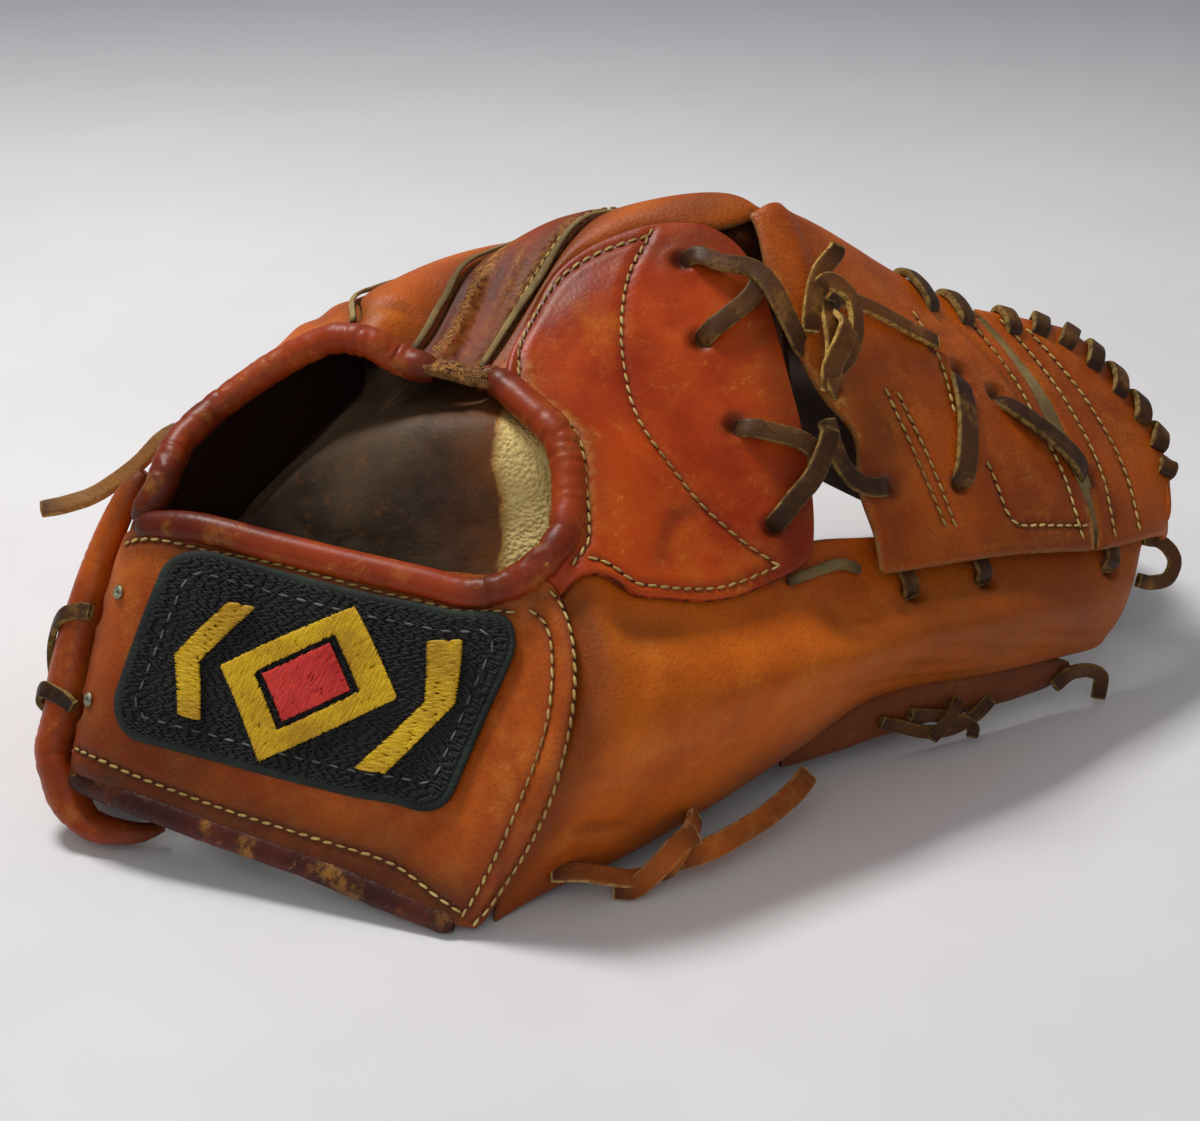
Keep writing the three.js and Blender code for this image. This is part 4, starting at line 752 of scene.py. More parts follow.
def swept(path, wide, high, sides=16, square=2.0, step=1.0, crease=0.0, uneven=0.0, seed=0, ends=0.6,
          cut=False, swell=None, bare=0.25):
    """Points, faces and masks of a closed sweep. square 2 is round, higher is more like a box."""
    steps = np.linspace(0, len(path) - 1, 300)
    length = run_length(smooth_list(path, steps)[:, :3])
    count = max(8, round(length[-1] / step))
    run = np.linspace(0, length[-1], count + 1)
    rows = smooth_list(path, np.interp(run, length, steps))
    ahead, side, top = across_path(rows[:, :3], rows[:, 3:])
    angle = (np.arange(sides) + 0.5) / sides * 2 * math.pi
    x = np.sign(np.cos(angle)) * np.abs(np.cos(angle)) ** (2 / square)
    y = np.sign(np.sin(angle)) * np.abs(np.sin(angle)) ** (2 / square)
    tip = np.minimum(run, length[-1] - run)
    round_off = 1 - (1 - ends) * np.clip(1 - tip / (max(wide, high) * 1.2), 0, 1) ** 2
    beat = 1 + hills(np.c_[run, run * 0, run * 0], 14, seed) * uneven
    if swell is not None:
        beat = beat * np.interp(run / length[-1], np.linspace(0, 1, len(swell)), swell)
    scale = (round_off * beat)[:, None, None]
    reach = side[:, None] * (x * wide)[None, :, None] * scale + top[:, None] * (y * high)[None, :, None] * scale
    if crease:
        bend = np.linalg.norm(np.gradient(ahead, axis=0), axis=1) / step
        bend = np.convolve(bend, np.ones(9) / 9, "same")
        along = np.broadcast_to(run[:, None] / CREASE_PITCH, reach.shape[:2])
        where = np.stack([along, *np.moveaxis(reach, -1, 0)[:2] / CREASE_LENGTH], -1)
        ridges = 1 - np.abs(hills(where, 1.0, seed + 3)) * 2
        depth = crease * np.clip(bend / SHARP_BEND, 0.12, 1)
        reach = reach * (1 - (depth[:, None] * np.clip(ridges, 0, 1) ** 2 / max(wide, high))[..., None])
    points = (rows[:, None, :3] + reach).reshape(-1, 3)
    rings = count + 1
    ids = np.arange(rings * sides).reshape(rings, sides)
    after = np.roll(ids, -1, axis=1)
    faces = np.stack([ids[:-1], ids[1:], after[1:], after[:-1]], -1).reshape(-1, 4).tolist()
    points = np.concatenate([points, rows[:1, :3] - ahead[:1] * 0.3, rows[-1:, :3] + ahead[-1:] * 0.3])
    first, last = rings * sides, rings * sides + 1
    faces += [[ids[0, (k + 1) % sides], ids[0, k], first] for k in range(sides)]
    faces += [[ids[-1, k], ids[-1, (k + 1) % sides], last] for k in range(sides)]
    edge = np.clip((np.abs(x) - 0.86) / 0.12, 0, 1)[None] * np.ones((rings, 1)) if cut else np.zeros((rings, sides))
    if cut:
        edge[[0, -1]] = 1
    # Darker toward each end of a sweep.
    darker_ends = np.repeat(np.exp(-(tip / (2 * max(wide, high))) ** 2) * 0.7, sides)
    torn = np.clip(hills(points, 5, seed + 11) * 2 - 0.5, 0, 1) * bare
    return points, faces, {"cut": np.r_[edge.ravel(), [float(cut)] * 2], "dirt_and_shade": np.r_[darker_ends, 0.7, 0.7], "bare": torn}


def swept_piece(name, finish, slot, sweeps):
    """One mesh from several sweeps, each a path and how it is swept."""
    points, faces, masks, start = [], [], [], 0
    for path, how in sweeps:
        p, f, m = swept(path, **how)
        points.append(p)
        faces += [[i + start for i in face] for face in f]
        masks.append(m)
        start += len(p)
    joined = {key: np.concatenate([m[key] for m in masks]) for key in masks[0]}
    finish_piece(add_mesh(name, np.concatenate(points), faces, finish, joined), slot, name)


# %% Rolled bindings
ROLL = dict(sides=28, step=0.6)
ROLLS = {
    "opening_binding_left": (dict(wide=4.1, high=3.8, crease=0.5, uneven=0.04, seed=1), [
        (1.06, 7.12, 1.4), (1.25, 6.96, 1), (1.5, 6.94, 1), (1.85, 7, 1), (2.3, 7.18, 1), (2.66, 7.2, 1),
        (2.86, 6.95, 1), (2.88, 6.5, 1), (2.84, 6.1, 0.5), (2.82, 5.72, 0), (2.81, 5.5, -0.4)]),
    "opening_binding_right": (dict(wide=4.2, high=3.9, crease=0.55, uneven=0.04, seed=2,
                                   swell=(0.8, 1, 1, 1.02, 1, 0.95, 0.85)), [
        (2.8, 4.9, -0.8), (2.86, 4.5, 0), (2.8, 4.08, 0.9), (2.5, 3.8, 1.2), (2.1, 3.5, 1.6), (1.8, 3.05, 2),
        (1.54, 2.68, 2.4), (1.3, 2.44, 3), (1.12, 2.36, 3.6), (0.98, 2.5, 3.6), (0.94, 2.8, 3.1)]),
    "strap_top_binding": (dict(wide=3.6, high=3.2, crease=0.2, uneven=0.04, seed=3), [
        (1.02, 7.05, 2.4), (1.04, 6.35, 2.4), (1.02, 5.36, 2.4), (0.99, 4.2, 2.4), (0.96, 3.4, 2.6),
        (0.94, 2.9, 3), (0.95, 2.55, 3.4)]),
}
for name, (how, path) in ROLLS.items():
    swept_piece(name, ROLLED, "roll_leather", [([spot(*p) for p in path], {**ROLL, **how})])
bottom = [spot(*p) for p in ((0, 7.5, 2), (0, 6, 2), (0, 4.5, 2), (0.01, 3, 2), (0.01, 1.5, 2.2), (0.03, 0.5, 2.6))]
swept_piece("strap_bottom_binding", DARK_ROLLED, "dark_roll_leather", [
    (bottom, dict(ROLL, wide=3.0, high=2.0, crease=0.9, uneven=0.14, seed=4, bare=0.5))])
heel = [space(-103, -22.5, 5.6), space(-111, -24.5, 5.4), space(-122.5, -20.5, 6.6),
        *[spot(*p) for p in ((0.06, 8, 5), (0.3, 7.96, 5.2), (0.6, 7.92, 5.2), (1, 7.8, 4.8), (1.35, 7.5, 3.6),
                             (1.6, 7.3, 2.4))]]
swept_piece("heel_binding", HEEL_HIDE, "roll_leather", [
    (heel, dict(ROLL, wide=5.2, high=4.2, crease=0.35, uneven=0.05, seed=5,
                swell=(0.4, 0.75, 0.95, 1.1, 1.25, 1.2, 1, 0.8, 0.6)))])

# %% Welts in the seams
FINGER_WELT = dict(wide=0.95, high=0.55, square=2.6, uneven=0.2, crease=0.2)
WELTS = {
    "welt_ring_little": (FINGER_WELT, [(3.12, 7, 0.9), (4, 7, 0.9), (5, 7, 0.9), (6, 7, 0.9), (7.5, 7, 0.9)]),
    "welt_middle_ring": (FINGER_WELT, [(2.96, 6.03, 1), (3.2, 6.1, 1), (3.5, 6.06, 1), (4, 6, 1), (5, 6, 0.9),
                                       (6, 6, 0.9), (7.5, 6, 0.9)]),
    "welt_index_middle": (FINGER_WELT, [(2.96, 5.03, 0.9), (3.5, 5.02, 0.9), (4, 5, 0.9), (5, 5, 0.9), (6, 5, 0.9),
                                        (7.5, 5, 0.9)]),
    "web_welt": (dict(wide=3.3, high=0.7, square=4, uneven=0.1), [
        (6.2, 3.86, 4.5), (6.29, 3.4, 4.5), (6.32, 3, 4.5), (6.42, 2.6, 4.5), (6.515, 2.02, 4.5)]),
    "thumb_top_piping": (dict(wide=1.5, high=0.7, uneven=0.15), [
        (3.78, 2.03, 0.9), (4.1, 2.06, 1.2), (4.45, 2.1, 1.1), (4.72, 2.05, 0.9)]),
}
for name, (how, path) in WELTS.items():
    swept_piece(name, SUEDE, "welt_leather", [([spot(*p) for p in path], dict(how, sides=12, step=0.7))])
print("rolls and welts are in place")

# %% Laces
LACE = dict(wide=2.4, high=0.9, sides=20, square=5.0, step=0.7, uneven=0.06, crease=0.08, ends=0.94, cut=True)
DARK_SLOT, TAN_LACE_SLOT = "lace_leather", "tan_lace_leather"


def strip(path, up=None, **how):
    """A strip of a lace: a path on the skin or, where its up is given, in the table's own space."""
    return [spot(*p) if up is None else space(*p, up) for p in path], how


def lace(name, strips, finish=LACE_HIDE, slot=DARK_SLOT):
    swept_piece(name, finish, slot, [(path, {**LACE, "seed": k, **how}) for k, (path, how) in enumerate(strips)])


lace("crotch_lace_upper", [
    strip([(3.68, 4.0, -1.4), (3.73, 3.95, 4.6), (3.78, 3.8, 6.4), (3.88, 3.68, 7.4), (3.93, 3.56, 8.4),
           (3.96, 3.42, 9), (4.03, 3.27, 8), (4.12, 3.25, 4)]),
    strip([(3.55, 3.47, -1.4), (3.62, 3.49, 4.6), (3.71, 3.51, 6), (3.83, 3.55, 6.4), (3.92, 3.62, 7)])])
lace("crotch_lace_lower", [
    strip([(3.52, 2.96, -1.4), (3.6, 2.91, 4.6), (3.75, 2.84, 6), (3.9, 2.78, 7), (4.02, 2.71, 7), (4.05, 2.62, 6)]),
    strip([(3.62, 2.36, -1.4), (3.7, 2.41, 4.6), (3.81, 2.48, 6), (3.96, 2.58, 8), (4.08, 2.71, 9), (4.16, 2.82, 9.5)]),
    strip([(4.12, 2.86, 9.5), (4.21, 2.7, 9), (4.42, 2.6, 8.4), (4.72, 2.58, 8), (4.95, 2.6, 7), (5.05, 2.62, 2)])])
lace("web_knot", [
    strip([(4.18, 3.3, 8), (4.24, 3.4, 9.5), (4.42, 3.54, 11), (4.7, 3.64, 12.5), (4.89, 3.69, 13.5)]),
    strip([(4.34, 3.46, 8.6), (4.44, 3.5, 12.4), (4.6, 3.44, 14.4), (4.64, 3.32, 14), (4.52, 3.2, 11.4),
           (4.4, 3.14, 8)], wide=2.2),
    strip([(4.46, 3.44, 9.6), (4.38, 3.25, 10.4), (4.3, 3.1, 9.6), (4.36, 3.05, 8.2), (4.5, 3.1, 2.4)], wide=2.5),
    strip([(4.6, 3.4, 9.8), (4.5, 3.32, 13.4), (4.36, 3.22, 13.8), (4.26, 3.12, 11), (4.3, 3.05, 7.4)], wide=2.6),
    strip([(4.5, 3.42, 9.4), (4.9, 3.5, 9), (5.21, 3.52, 8.2), (5.46, 3.5, 7.2), (5.66, 3.47, 6.8)], wide=2.1)],
    PALE_LACE)
lace("web_slot_lace", [
    strip([(5.78, 3.36, 2.2), (5.72, 3.26, 6.6), (5.66, 3, 7), (5.58, 2.69, 6.6), (5.55, 2.6, 2.2)], wide=3)])
lace("web_slant_lace", [
    strip([(5.96, 3.26, 2.2), (6.01, 3.16, 6.8), (6.2, 2.93, 8.2), (6.38, 2.72, 6.8), (6.46, 2.62, 2.2)], wide=2.8)])
for name, path in {"near": [(5.14, 2.12, 1.8), (5.14, 1.96, 2), (5.16, 1.84, 1.8), (5.18, 1.76, -1.2)],
                   "middle": [(5.72, 2.12, 1.8), (5.72, 1.96, 2), (5.74, 1.84, 1.8), (5.76, 1.76, -1.2)],
                   "far": [(6.72, 2.14, 1.8), (6.72, 1.98, 2), (6.73, 1.86, 1.8), (6.75, 1.78, -1.2)]}.items():
    lace("web_thumb_lace_" + name, [strip(path)])
lace("thumb_tip_loop", [
    strip([(147, 65, 38.4), (152.5, 65, 37), (156, 64, 32.5), (154, 61, 28.4), (148.5, 58, 28.6), (144.5, 57, 30)],
          up=(0.3, -0.9, 0.3), wide=2)])
lace("thumb_tip_tail", [
    strip([(119.5, 35.3, 9.6), (124, 37.4, 12.4), (129.5, 40.4, 11.6), (133.6, 42.4, 8.8), (134, 42.6, 5),
           (133.6, 42, 2)], up=(0, -1, 0.1), wide=2)])
lace("thumb_under_knot", [
    strip([(70, 9.6, 14.6), (76, 11.6, 12), (83, 14.6, 8.6), (90, 18.4, 7.4), (96, 21.6, 9), (100.6, 24.6, 12.4)],
          up=(0, -1, 0.2), wide=1.8),
    strip([(78, 13.4, 14.6), (84, 15.6, 13), (91, 18.4, 10.2), (95.6, 20.2, 6.8), (95.6, 19.4, 4)],
          up=(0, -1, 0.2), wide=1.6),
    strip([(84, 13.8, 7), (86.8, 14.4, 10.6), (89.4, 16, 13.8), (91, 19, 15.6)], up=(0, -1, 0.2), wide=1.6)])
lace("heel_knot", [
    strip([(-11, -45.4, 9), (-4, -45.6, 9.4), (2.5, -44, 7.2), (8, -42, 5.2), (14, -39, 5.4)],
          up=(0, -0.6, 0.8), wide=2.2, high=1.1),
    strip([(3, -43, 3.4), (8, -43.4, 4), (14, -41, 8.6), (18, -38, 12), (22, -35, 12.6)],
          up=(0, -0.8, 0.4), wide=2.5, high=1.2),
    strip([(13, -39.6, 4.6), (16, -40.4, 8), (19, -37, 11.6), (21, -33, 12.4), (22, -28, 12.6)],
          up=(0.3, -0.9, 0.2), wide=2.5, high=1.2),
    strip([(18, -38.4, 8), (24.5, -35.6, 8.4), (31, -30.4, 8.6), (39, -24, 9.8), (46, -17, 11.6), (50, -12, 13.6)],
          up=(0.2, -0.8, 0.5), wide=2.7, high=1.1)], TAN_LACE, TAN_LACE_SLOT)
lace("strap_end_lace", [
    strip([(0.66, 7.5, 5), (0.68, 7.66, 7.4), (0.68, 7.86, 10.6), (0.62, 8.1, 11), (0.5, 8.26, 8.4), (0.42, 8.2, 3)],
          wide=2.1),
    strip([(0.3, 8.26, 4), (0.34, 8.1, 10.4), (0.36, 7.9, 10.8), (0.32, 7.68, 7.2), (0.28, 7.56, 4.4)], wide=2)])
lace("left_tail", [
    strip([(-103, 33, 84), (-107, 31, 82), (-112.6, 27, 77), (-121.5, 23, 71.6), (-128.5, 20.4, 69.8),
           (-134.6, 19, 69)], up=(-0.2, -0.6, 0.8), wide=2.2, high=1)], OLD_LACE, TAN_LACE_SLOT)

# %% [markdown]
# The whip lace runs round the web's free edge: out over the edge, back underneath to the next hole
# and up through it. A short table says where each turn crosses the edge and where its hole is.

# %% The whip lace of the web
WHIP = [(5.76, 3.95, 5.79, 3.74), (6.04, 3.94, 6.04, 3.74), (6.42, 3.96, 6.39, 3.77), (6.68, 4, 6.6, 3.82),
        (6.91, 3.95, 6.76, 3.75), (7.07, 3.81, 6.89, 3.59), (7.2, 3.63, 7.01, 3.41), (7.32, 3.44, 7.13, 3.23),
        (7.44, 3.25, 7.25, 3.05), (7.58, 3.06, 7.39, 2.87)]


def whip_turns():
    """One strip for each turn, from above the web round its edge to the next hole below."""
    above, below = WEB_TOP + 1.2, WEB_TOP - LEATHER - 1.3
    turns = []
    for k, (edge_s, edge_t, hole_s, hole_t) in enumerate(WHIP):
        def out(f, lift):
            return edge_s + (edge_s - hole_s) * f, edge_t + (edge_t - hole_t) * f, lift
        path = [out(-1.1, above - 2.4), out(-0.95, above - 0.3), out(-0.4, above + 0.3), out(0.1, above - 0.3),
                out(0.35, WEB_TOP - 1.1), out(0.1, below + 0.2), out(-0.5, below)]
        if k + 1 < len(WHIP):
            path.append((WHIP[k + 1][2], WHIP[k + 1][3], below + 0.3))
        turns.append(strip(path, wide=2.5, high=1.15, step=0.6))
    return turns


lace("web_edge_lace", whip_turns())
print("laces are in place")

# %% [markdown]
# A stitch is a short, fat bit of twisted thread that dives into the leather at both ends. There are
# hundreds, so Geometry Nodes lay them: the tree takes a path with its normals, sets points at the
# stitch pitch and puts one grain of thread on each, turned along the seam. A second tree lays a
# thread on every vertex it is given, for the patch and for torn fibres, where each thread has a
# length of its own.

# %% Trees that lay threads
class Growth(Nodes):
    """A Geometry Nodes tree with named inputs."""

    def __init__(self, name, **inputs):
        self.tree = bpy.data.node_groups.new(name, "GeometryNodeTree")
        self.socket("Source", "INPUT", "Geometry")
        for key, (kind, value) in inputs.items():
            socket = self.socket(key.replace("_", " "), "INPUT", kind)
            if value is not None:
                socket.default_value = value
        self.socket("Result", "OUTPUT", "Geometry")
        self.given = self.tree.nodes.new("NodeGroupInput").outputs

    def socket(self, name, side, kind):
        return self.tree.interface.new_socket(name, in_out=side, socket_type="NodeSocket" + kind)

    def math(self, operation, *values):
        return self.node("ShaderNodeMath", {"operation": operation}, *values).outputs[0]

    def chance(self, low, high):
        """A random number for each thread. The node's inputs 2 and 3 are its limits as floats."""
        return self.node("FunctionNodeRandomValue", {"data_type": "FLOAT"}, None, None, low, high,
                         Seed=self.given["Seed"]).outputs[1]

    def attribute(self, name, kind="FLOAT_VECTOR"):
        return self.node("GeometryNodeInputNamedAttribute", {"data_type": kind}, Name=name).outputs[0]

    def lay(self, points, along, half_length, slant=0.0):
        """One grain of thread on each point, its length along the path and its back up."""
        turn = self.node("FunctionNodeAxesToRotation", {"primary_axis": "Z", "secondary_axis": "X"},
                         self.attribute("up"), along)
        tilt = self.node("ShaderNodeCombineXYZ", Z=self.math("ADD", self.chance(-0.08, 0.08), slant))
        turned = self.node("FunctionNodeRotateRotation", {"rotation_space": "LOCAL"}, turn.outputs[0], tilt.outputs[0])
        grain = self.node("GeometryNodeMeshUVSphere", None, Segments=6, Rings=5, Radius=1.0)
        thick = self.math("MULTIPLY", self.given["Thread radius"], self.chance(0.88, 1.12))
        size = self.node("ShaderNodeCombineXYZ", None, half_length, thick, thick)
        laid = self.node("GeometryNodeInstanceOnPoints", Points=points, Instance=grain.outputs[0],
                         Rotation=turned.outputs[0], Scale=size.outputs[0])
        real = self.node("GeometryNodeRealizeInstances", Geometry=laid.outputs[0])
        soft = self.node("GeometryNodeSetShadeSmooth", Geometry=real.outputs[0])
        done = self.node("GeometryNodeSetMaterial", Geometry=soft.outputs[0], Material=self.given["Thread"])
        self.tree.links.new(done.outputs[0], self.tree.nodes.new("NodeGroupOutput").inputs[0])


SEWING = Growth("sew_along_path", Pitch=("Float", 0.0034), Thread_length=("Float", 0.003),
                Thread_radius=("Float", 0.0004), Slant=("Float", 0.1), Seed=("Int", 1), Thread=("Material", None))
line = SEWING.node("GeometryNodeMeshToCurve", Mesh=SEWING.given["Source"])
even = SEWING.node("GeometryNodeResampleCurve", {"mode": "LENGTH"}, Curve=line.outputs[0],
                   Length=SEWING.given["Pitch"])
SEWING.lay(even.outputs[0], SEWING.node("GeometryNodeInputTangent").outputs[0],
           SEWING.math("MULTIPLY", SEWING.given["Thread length"], 0.5), SEWING.given["Slant"])

EMBROIDERY = Growth("threads_on_points", Thread_radius=("Float", 0.0003), Seed=("Int", 1), Thread=("Material", None))
EMBROIDERY.lay(EMBROIDERY.given["Source"], EMBROIDERY.attribute("along"), EMBROIDERY.attribute("half", "FLOAT"))


def grown(name, growth, source, **inputs):
    """Runs a tree on a source mesh and keeps the result as a plain mesh."""
    thing = bpy.data.objects.new(name, source)
    bpy.context.scene.collection.objects.link(thing)
    modifier = thing.modifiers.new("grow", "NODES")
    modifier.node_group = growth.tree
    sockets = {item.name: item.identifier for item in growth.tree.interface.items_tree if item.in_out == "INPUT"}
    for key, value in inputs.items():
        modifier[sockets[key.replace("_", " ")]] = value
    made = bpy.data.meshes.new_from_object(thing.evaluated_get(bpy.context.evaluated_depsgraph_get()))
    thing.modifiers.clear()
    thing.data = made
    made.name = name
    return thing


def source_mesh(points, edges=(), **attributes):
    """Vertices for a tree, in the shared frame, with their vectors and numbers as attributes."""
    mesh = bpy.data.meshes.new("source")
    mesh.from_pydata(((np.asarray(points) + SHIFT) / 1000).tolist(), edges, [])
    for key, values in attributes.items():
        values = np.asarray(values, np.float32)
        kind, field = ("FLOAT_VECTOR", "vector") if values.ndim == 2 else ("FLOAT", "value")
        mesh.attributes.new(key, kind, "POINT").data.foreach_set(field, values.ravel())
    return mesh


def path_mesh(lines):
    """Edges along lines of points, each line with its normals, for a tree to sew."""
    edges, start = [], 0
    for line, _ in lines:
        edges += [(start + k, start + k + 1) for k in range(len(line) - 1)]
        start += len(line)
    return source_mesh(np.concatenate([line for line, _ in lines]), edges, up=np.concatenate([up for _, up in lines]))


# %% Thread finishes
def thread(name, colour, worn, rough=0.75):
    """Cotton or polyester thread: cloudy between a colour and its worn tone, with painted shade between strands."""
    f = Finish(name)
    clouds = f.noise(60, 3, 0.6)
    strand = f.noise(2600, 2, 0.5)
    shade = f.mix(clouds.between(0.35, 0.7), paint(*worn), paint(*colour))
    # Darker between strands: painted shade.
    shade = f.mix(strand.between(0.6, 0.3) * 0.3, shade, paint(*(c // 3 for c in worn)))
    f.set(Base_Color=shade, Roughness=rough + strand * 0.2 - 0.1, Specular_IOR_Level=0.4)
    f.bump(strand, 0.0002, 0.5)
    return f.material


CREAM_THREAD = thread("cream_thread", (228, 200, 122), (170, 136, 72))
# Dark grains that stand for the stitch holes: painted shade of the holes.
HOLE_SHADE_THREAD = thread("stitch_hole_shade", (36, 24, 18), (20, 13, 10), 0.9)
TAN_THREAD = thread("tan_thread", (196, 142, 76), (140, 92, 44))
BLACK_THREAD = thread("black_thread", (30, 30, 29), (16, 16, 16), 0.6)
EDGE_THREAD = thread("edge_thread", (48, 58, 50), (24, 31, 27))
GREY_THREAD = thread("grey_thread", (128, 136, 124), (78, 84, 76), 0.7)
RED_THREAD = thread("red_thread", (240, 66, 58), (212, 44, 40), 0.55)
GOLD_THREAD = thread("gold_thread", (246, 200, 20), (206, 156, 12), 0.5)

# %% Sew the seams
STITCH_PITCH = 0.003
FIRST_HOLE = 3  # how many points of a seam's line come before it, so that it lies between two stitches
stitches = grown("seam_stitches", SEWING, path_mesh([(line + up * 0.05, up) for line, up in SEAM_LINES.values()]),
                 Pitch=STITCH_PITCH, Thread_length=0.0027, Thread_radius=0.00036, Slant=0.12, Thread=CREAM_THREAD)
finish_piece(stitches, "gold_thread")
# Dark grains sunk between the stitches: painted shade of the stitch holes.
sunk = [(line[FIRST_HOLE:] - up[FIRST_HOLE:] * 0.15, up[FIRST_HOLE:]) for line, up in SEAM_LINES.values()]
holes = grown("seam_holes", SEWING, path_mesh(sunk), Pitch=STITCH_PITCH, Thread_length=0.0007,
              Thread_radius=0.00032, Slant=0.0, Seed=4, Thread=HOLE_SHADE_THREAD)
finish_piece(holes, "gold_thread")
print("stitch faces:", len(stitches.data.polygons))

# %% [markdown]
# Where the leather has torn, its fibres stand up as a pale fringe: along a ridge of the middle
# finger and on the worn binding. The same tree lays them, as short hairs that point every way.

# %% Torn fibres
def fibres(name, count, longest, spread, places, lift, seed):
    """Hairs at random along a path, their length in metres and their spread in rows and columns."""
    rng = np.random.default_rng(seed)
    s, t = smooth_list(places, rng.uniform(0, len(places) - 1, count)).T
    s, t = s + rng.normal(0, spread, count), t + rng.normal(0, spread, count)
    up = skin.normal(s, t)
    way = np.cross(up, rng.normal(size=(count, 3)))
    way = way / np.linalg.norm(way, axis=1, keepdims=True) + up * rng.uniform(-0.2, 0.5, (count, 1))
    half = rng.uniform(0.3, 1, count) * longest / 2
    roots = skin.place(s, t, lift + rng.uniform(-0.2, 0.3, count))
    made = grown(name, EMBROIDERY, source_mesh(roots, up=up, along=way, half=half), Thread_radius=0.00016,
                 Thread=TAN_THREAD, Seed=seed)
    finish_piece(made, "gold_thread")


fibres("ridge_fibres", 260, 0.0012, 0.03, [(2.96, 5.7), (3.2, 5.69), (3.5, 5.72), (3.7, 5.73)], 2.9, seed=7)
fibres("worn_edge_fibres", 160, 0.0018, 0.05, [(2.8, 4.3), (2.78, 4.6), (2.78, 5), (2.78, 5.4)], 3.0, seed=8)
print("torn fibres are in place")

# %% [markdown]
# The palm closes the glove from below: the pocket, padded at the heel, with a notch where the web
# is laced in. Its form is the skin's, moved inward by a table of depths and never under the floor.
# The hand side is smooth, and the pocket side is pulled into soft hollows, since it is stuffed.

# %% The palm
DEPTH = np.array([
    (3.8, 10, 18, 26, 32, 35, 35, 32, 20, 4), (3.8, 14, 17, 20, 23, 26, 30, 31, 20, 4),
    (3.8, 15, 15, 12, 10, 13, 20, 28, 21, 4), (3.8, 17, 18, 13, 11, 12, 18, 24, 21, 4),
    (3.8, 18, 19, 16, 16, 18, 18, 20, 19, 4), (3.8, 17, 3.4, 3, 3, 18, 18, 18, 15, 4),
    (3.8, 15, 3.4, 3, 3, 16, 16, 16, 13, 4), (3.8, 11, 3.4, 3, 3, 12, 12, 11, 9, 4),
    (3.8, 4, 3.4, 3, 3.2, 3.2, 3.2, 3.2, 3.2, 3.2)])
NOTCH_S, NOTCH_T = 4.3, (2.0, 3.9)
PALM_THICK, HEEL_PAD = 3, 5


def moved_skin(extra, floor):
    """The skin's net moved inward by the depths, and kept above a height."""
    s, t = np.meshgrid(np.arange(9.0), np.arange(10.0), indexing="ij")
    net = skin.point(s, t) - skin.normal(s, t) * (DEPTH + extra)[..., None]
    net[..., 2] = np.maximum(net[..., 2], floor)
    return Surface(net)


def slab(top, bottom, keep):
    """A closed body between two grids, without the cells that aren't kept."""
    ids, quads = grid_faces(*top.shape[:2])
    count, quads = ids.size, quads[keep]
    edges = {(int(face[k]), int(face[(k + 1) % 4])) for face in quads for k in range(4)}
    rim = np.array([(b, a, a + count, b + count) for a, b in sorted(edges) if (b, a) not in edges])
    faces = np.concatenate([quads, quads[:, ::-1] + count, rim])
    used, faces = np.unique(faces, return_inverse=True)
    points = np.concatenate([top.reshape(-1, 3), bottom.reshape(-1, 3)])[used]
    return points, faces.reshape(-1, 4), used >= count


form = moved_skin(0, 6)
s, t = np.meshgrid(np.linspace(0.02, 8, 200), np.linspace(0.04, 8.96, 160), indexing="ij")
hand_side, out = form.point(s, t), form.normal(s, t)
in_pad = np.maximum(0, 1 - s / 3.4) * np.minimum(1, np.minimum(t / 1.2, (9 - t) / 1.2))
thickness = PALM_THICK + HEEL_PAD * in_pad
pocket_side = hand_side - out * (thickness + 0.35 * hills(hand_side, 15, 5))[..., None]
pocket_side[..., 2] = np.maximum(pocket_side[..., 2], FLOOR)
keep = ~((s > NOTCH_S) & (t > NOTCH_T[0]) & (t < NOTCH_T[1]))[:-1, :-1]
points, faces, under = slab(hand_side, pocket_side, keep)
fold_path = [space(44, -2.5, 10.4), space(56, 6, 12.6), space(70, 14.6, 14.6), space(86, 22, 15),
             space(104, 30.4, 14), space(124, 41.6, 11.4)]
fold_points, fold_faces, _ = swept(fold_path, 3.6, 7.5, sides=24, uneven=0.06, crease=0.3,
                                   swell=(0.3, 0.8, 1, 1, 0.8, 0.5))
faces = [*faces.tolist(), *[[i + len(points) for i in face] for face in fold_faces]]
points = np.concatenate([points, fold_points])
inside = np.r_[1.0 - under, np.zeros(len(fold_points))]
palm = finish_piece(add_mesh("palm_hide", points, faces, PALM_HIDE_SHADED, {"inside": inside}), "palm_hide", "palm_leather")
print("palm faces:", len(palm.data.polygons))

# %% [markdown]
# Inside lies the lining, dark from years of hands. Where the hand pulls out it has worn through to
# a pale, pebbled band along the far wall of the opening.

# %% The lining
form = moved_skin(-4.4, 10.4)
s, t = np.meshgrid(np.linspace(0.4, 3.8, 110), np.linspace(1.4, 7.4, 130), indexing="ij")
top, out = form.point(s, t), form.normal(s, t)
wrinkle = 0.5 * np.abs(hills(top, 7, 9)) + 0.5 * hills(top, 14, 11)
points, faces, _ = slab(top + out * wrinkle[..., None], top - out * 1.5, np.ones(np.array(s.shape) - 1, bool))
border = points[:, 0] + 2.2 * hills(points, 9, 2) + 0.8 * hills(points, 2.5, 4)
masks = {"pale": np.clip((border + 23.5) / 3, 0, 1) * np.clip((points[:, 1] + 11) / 4, 0, 1),
         "brown": dome(np.minimum(0, border + 23), 11)}
lining = finish_piece(add_mesh("lining_hide", points, faces, INSIDE_HIDE, masks), "lining_leather", "palm_lining")
print("lining faces:", len(lining.data.polygons))

# %% [markdown]
# The sewn-on patch is cloth that is covered with thread: a dense dark fill, a motif in satin stitch
# on top and an overlocked edge, where thread is wrapped over the rim. The motif here is a plain
# diamond in a frame between two chevrons.

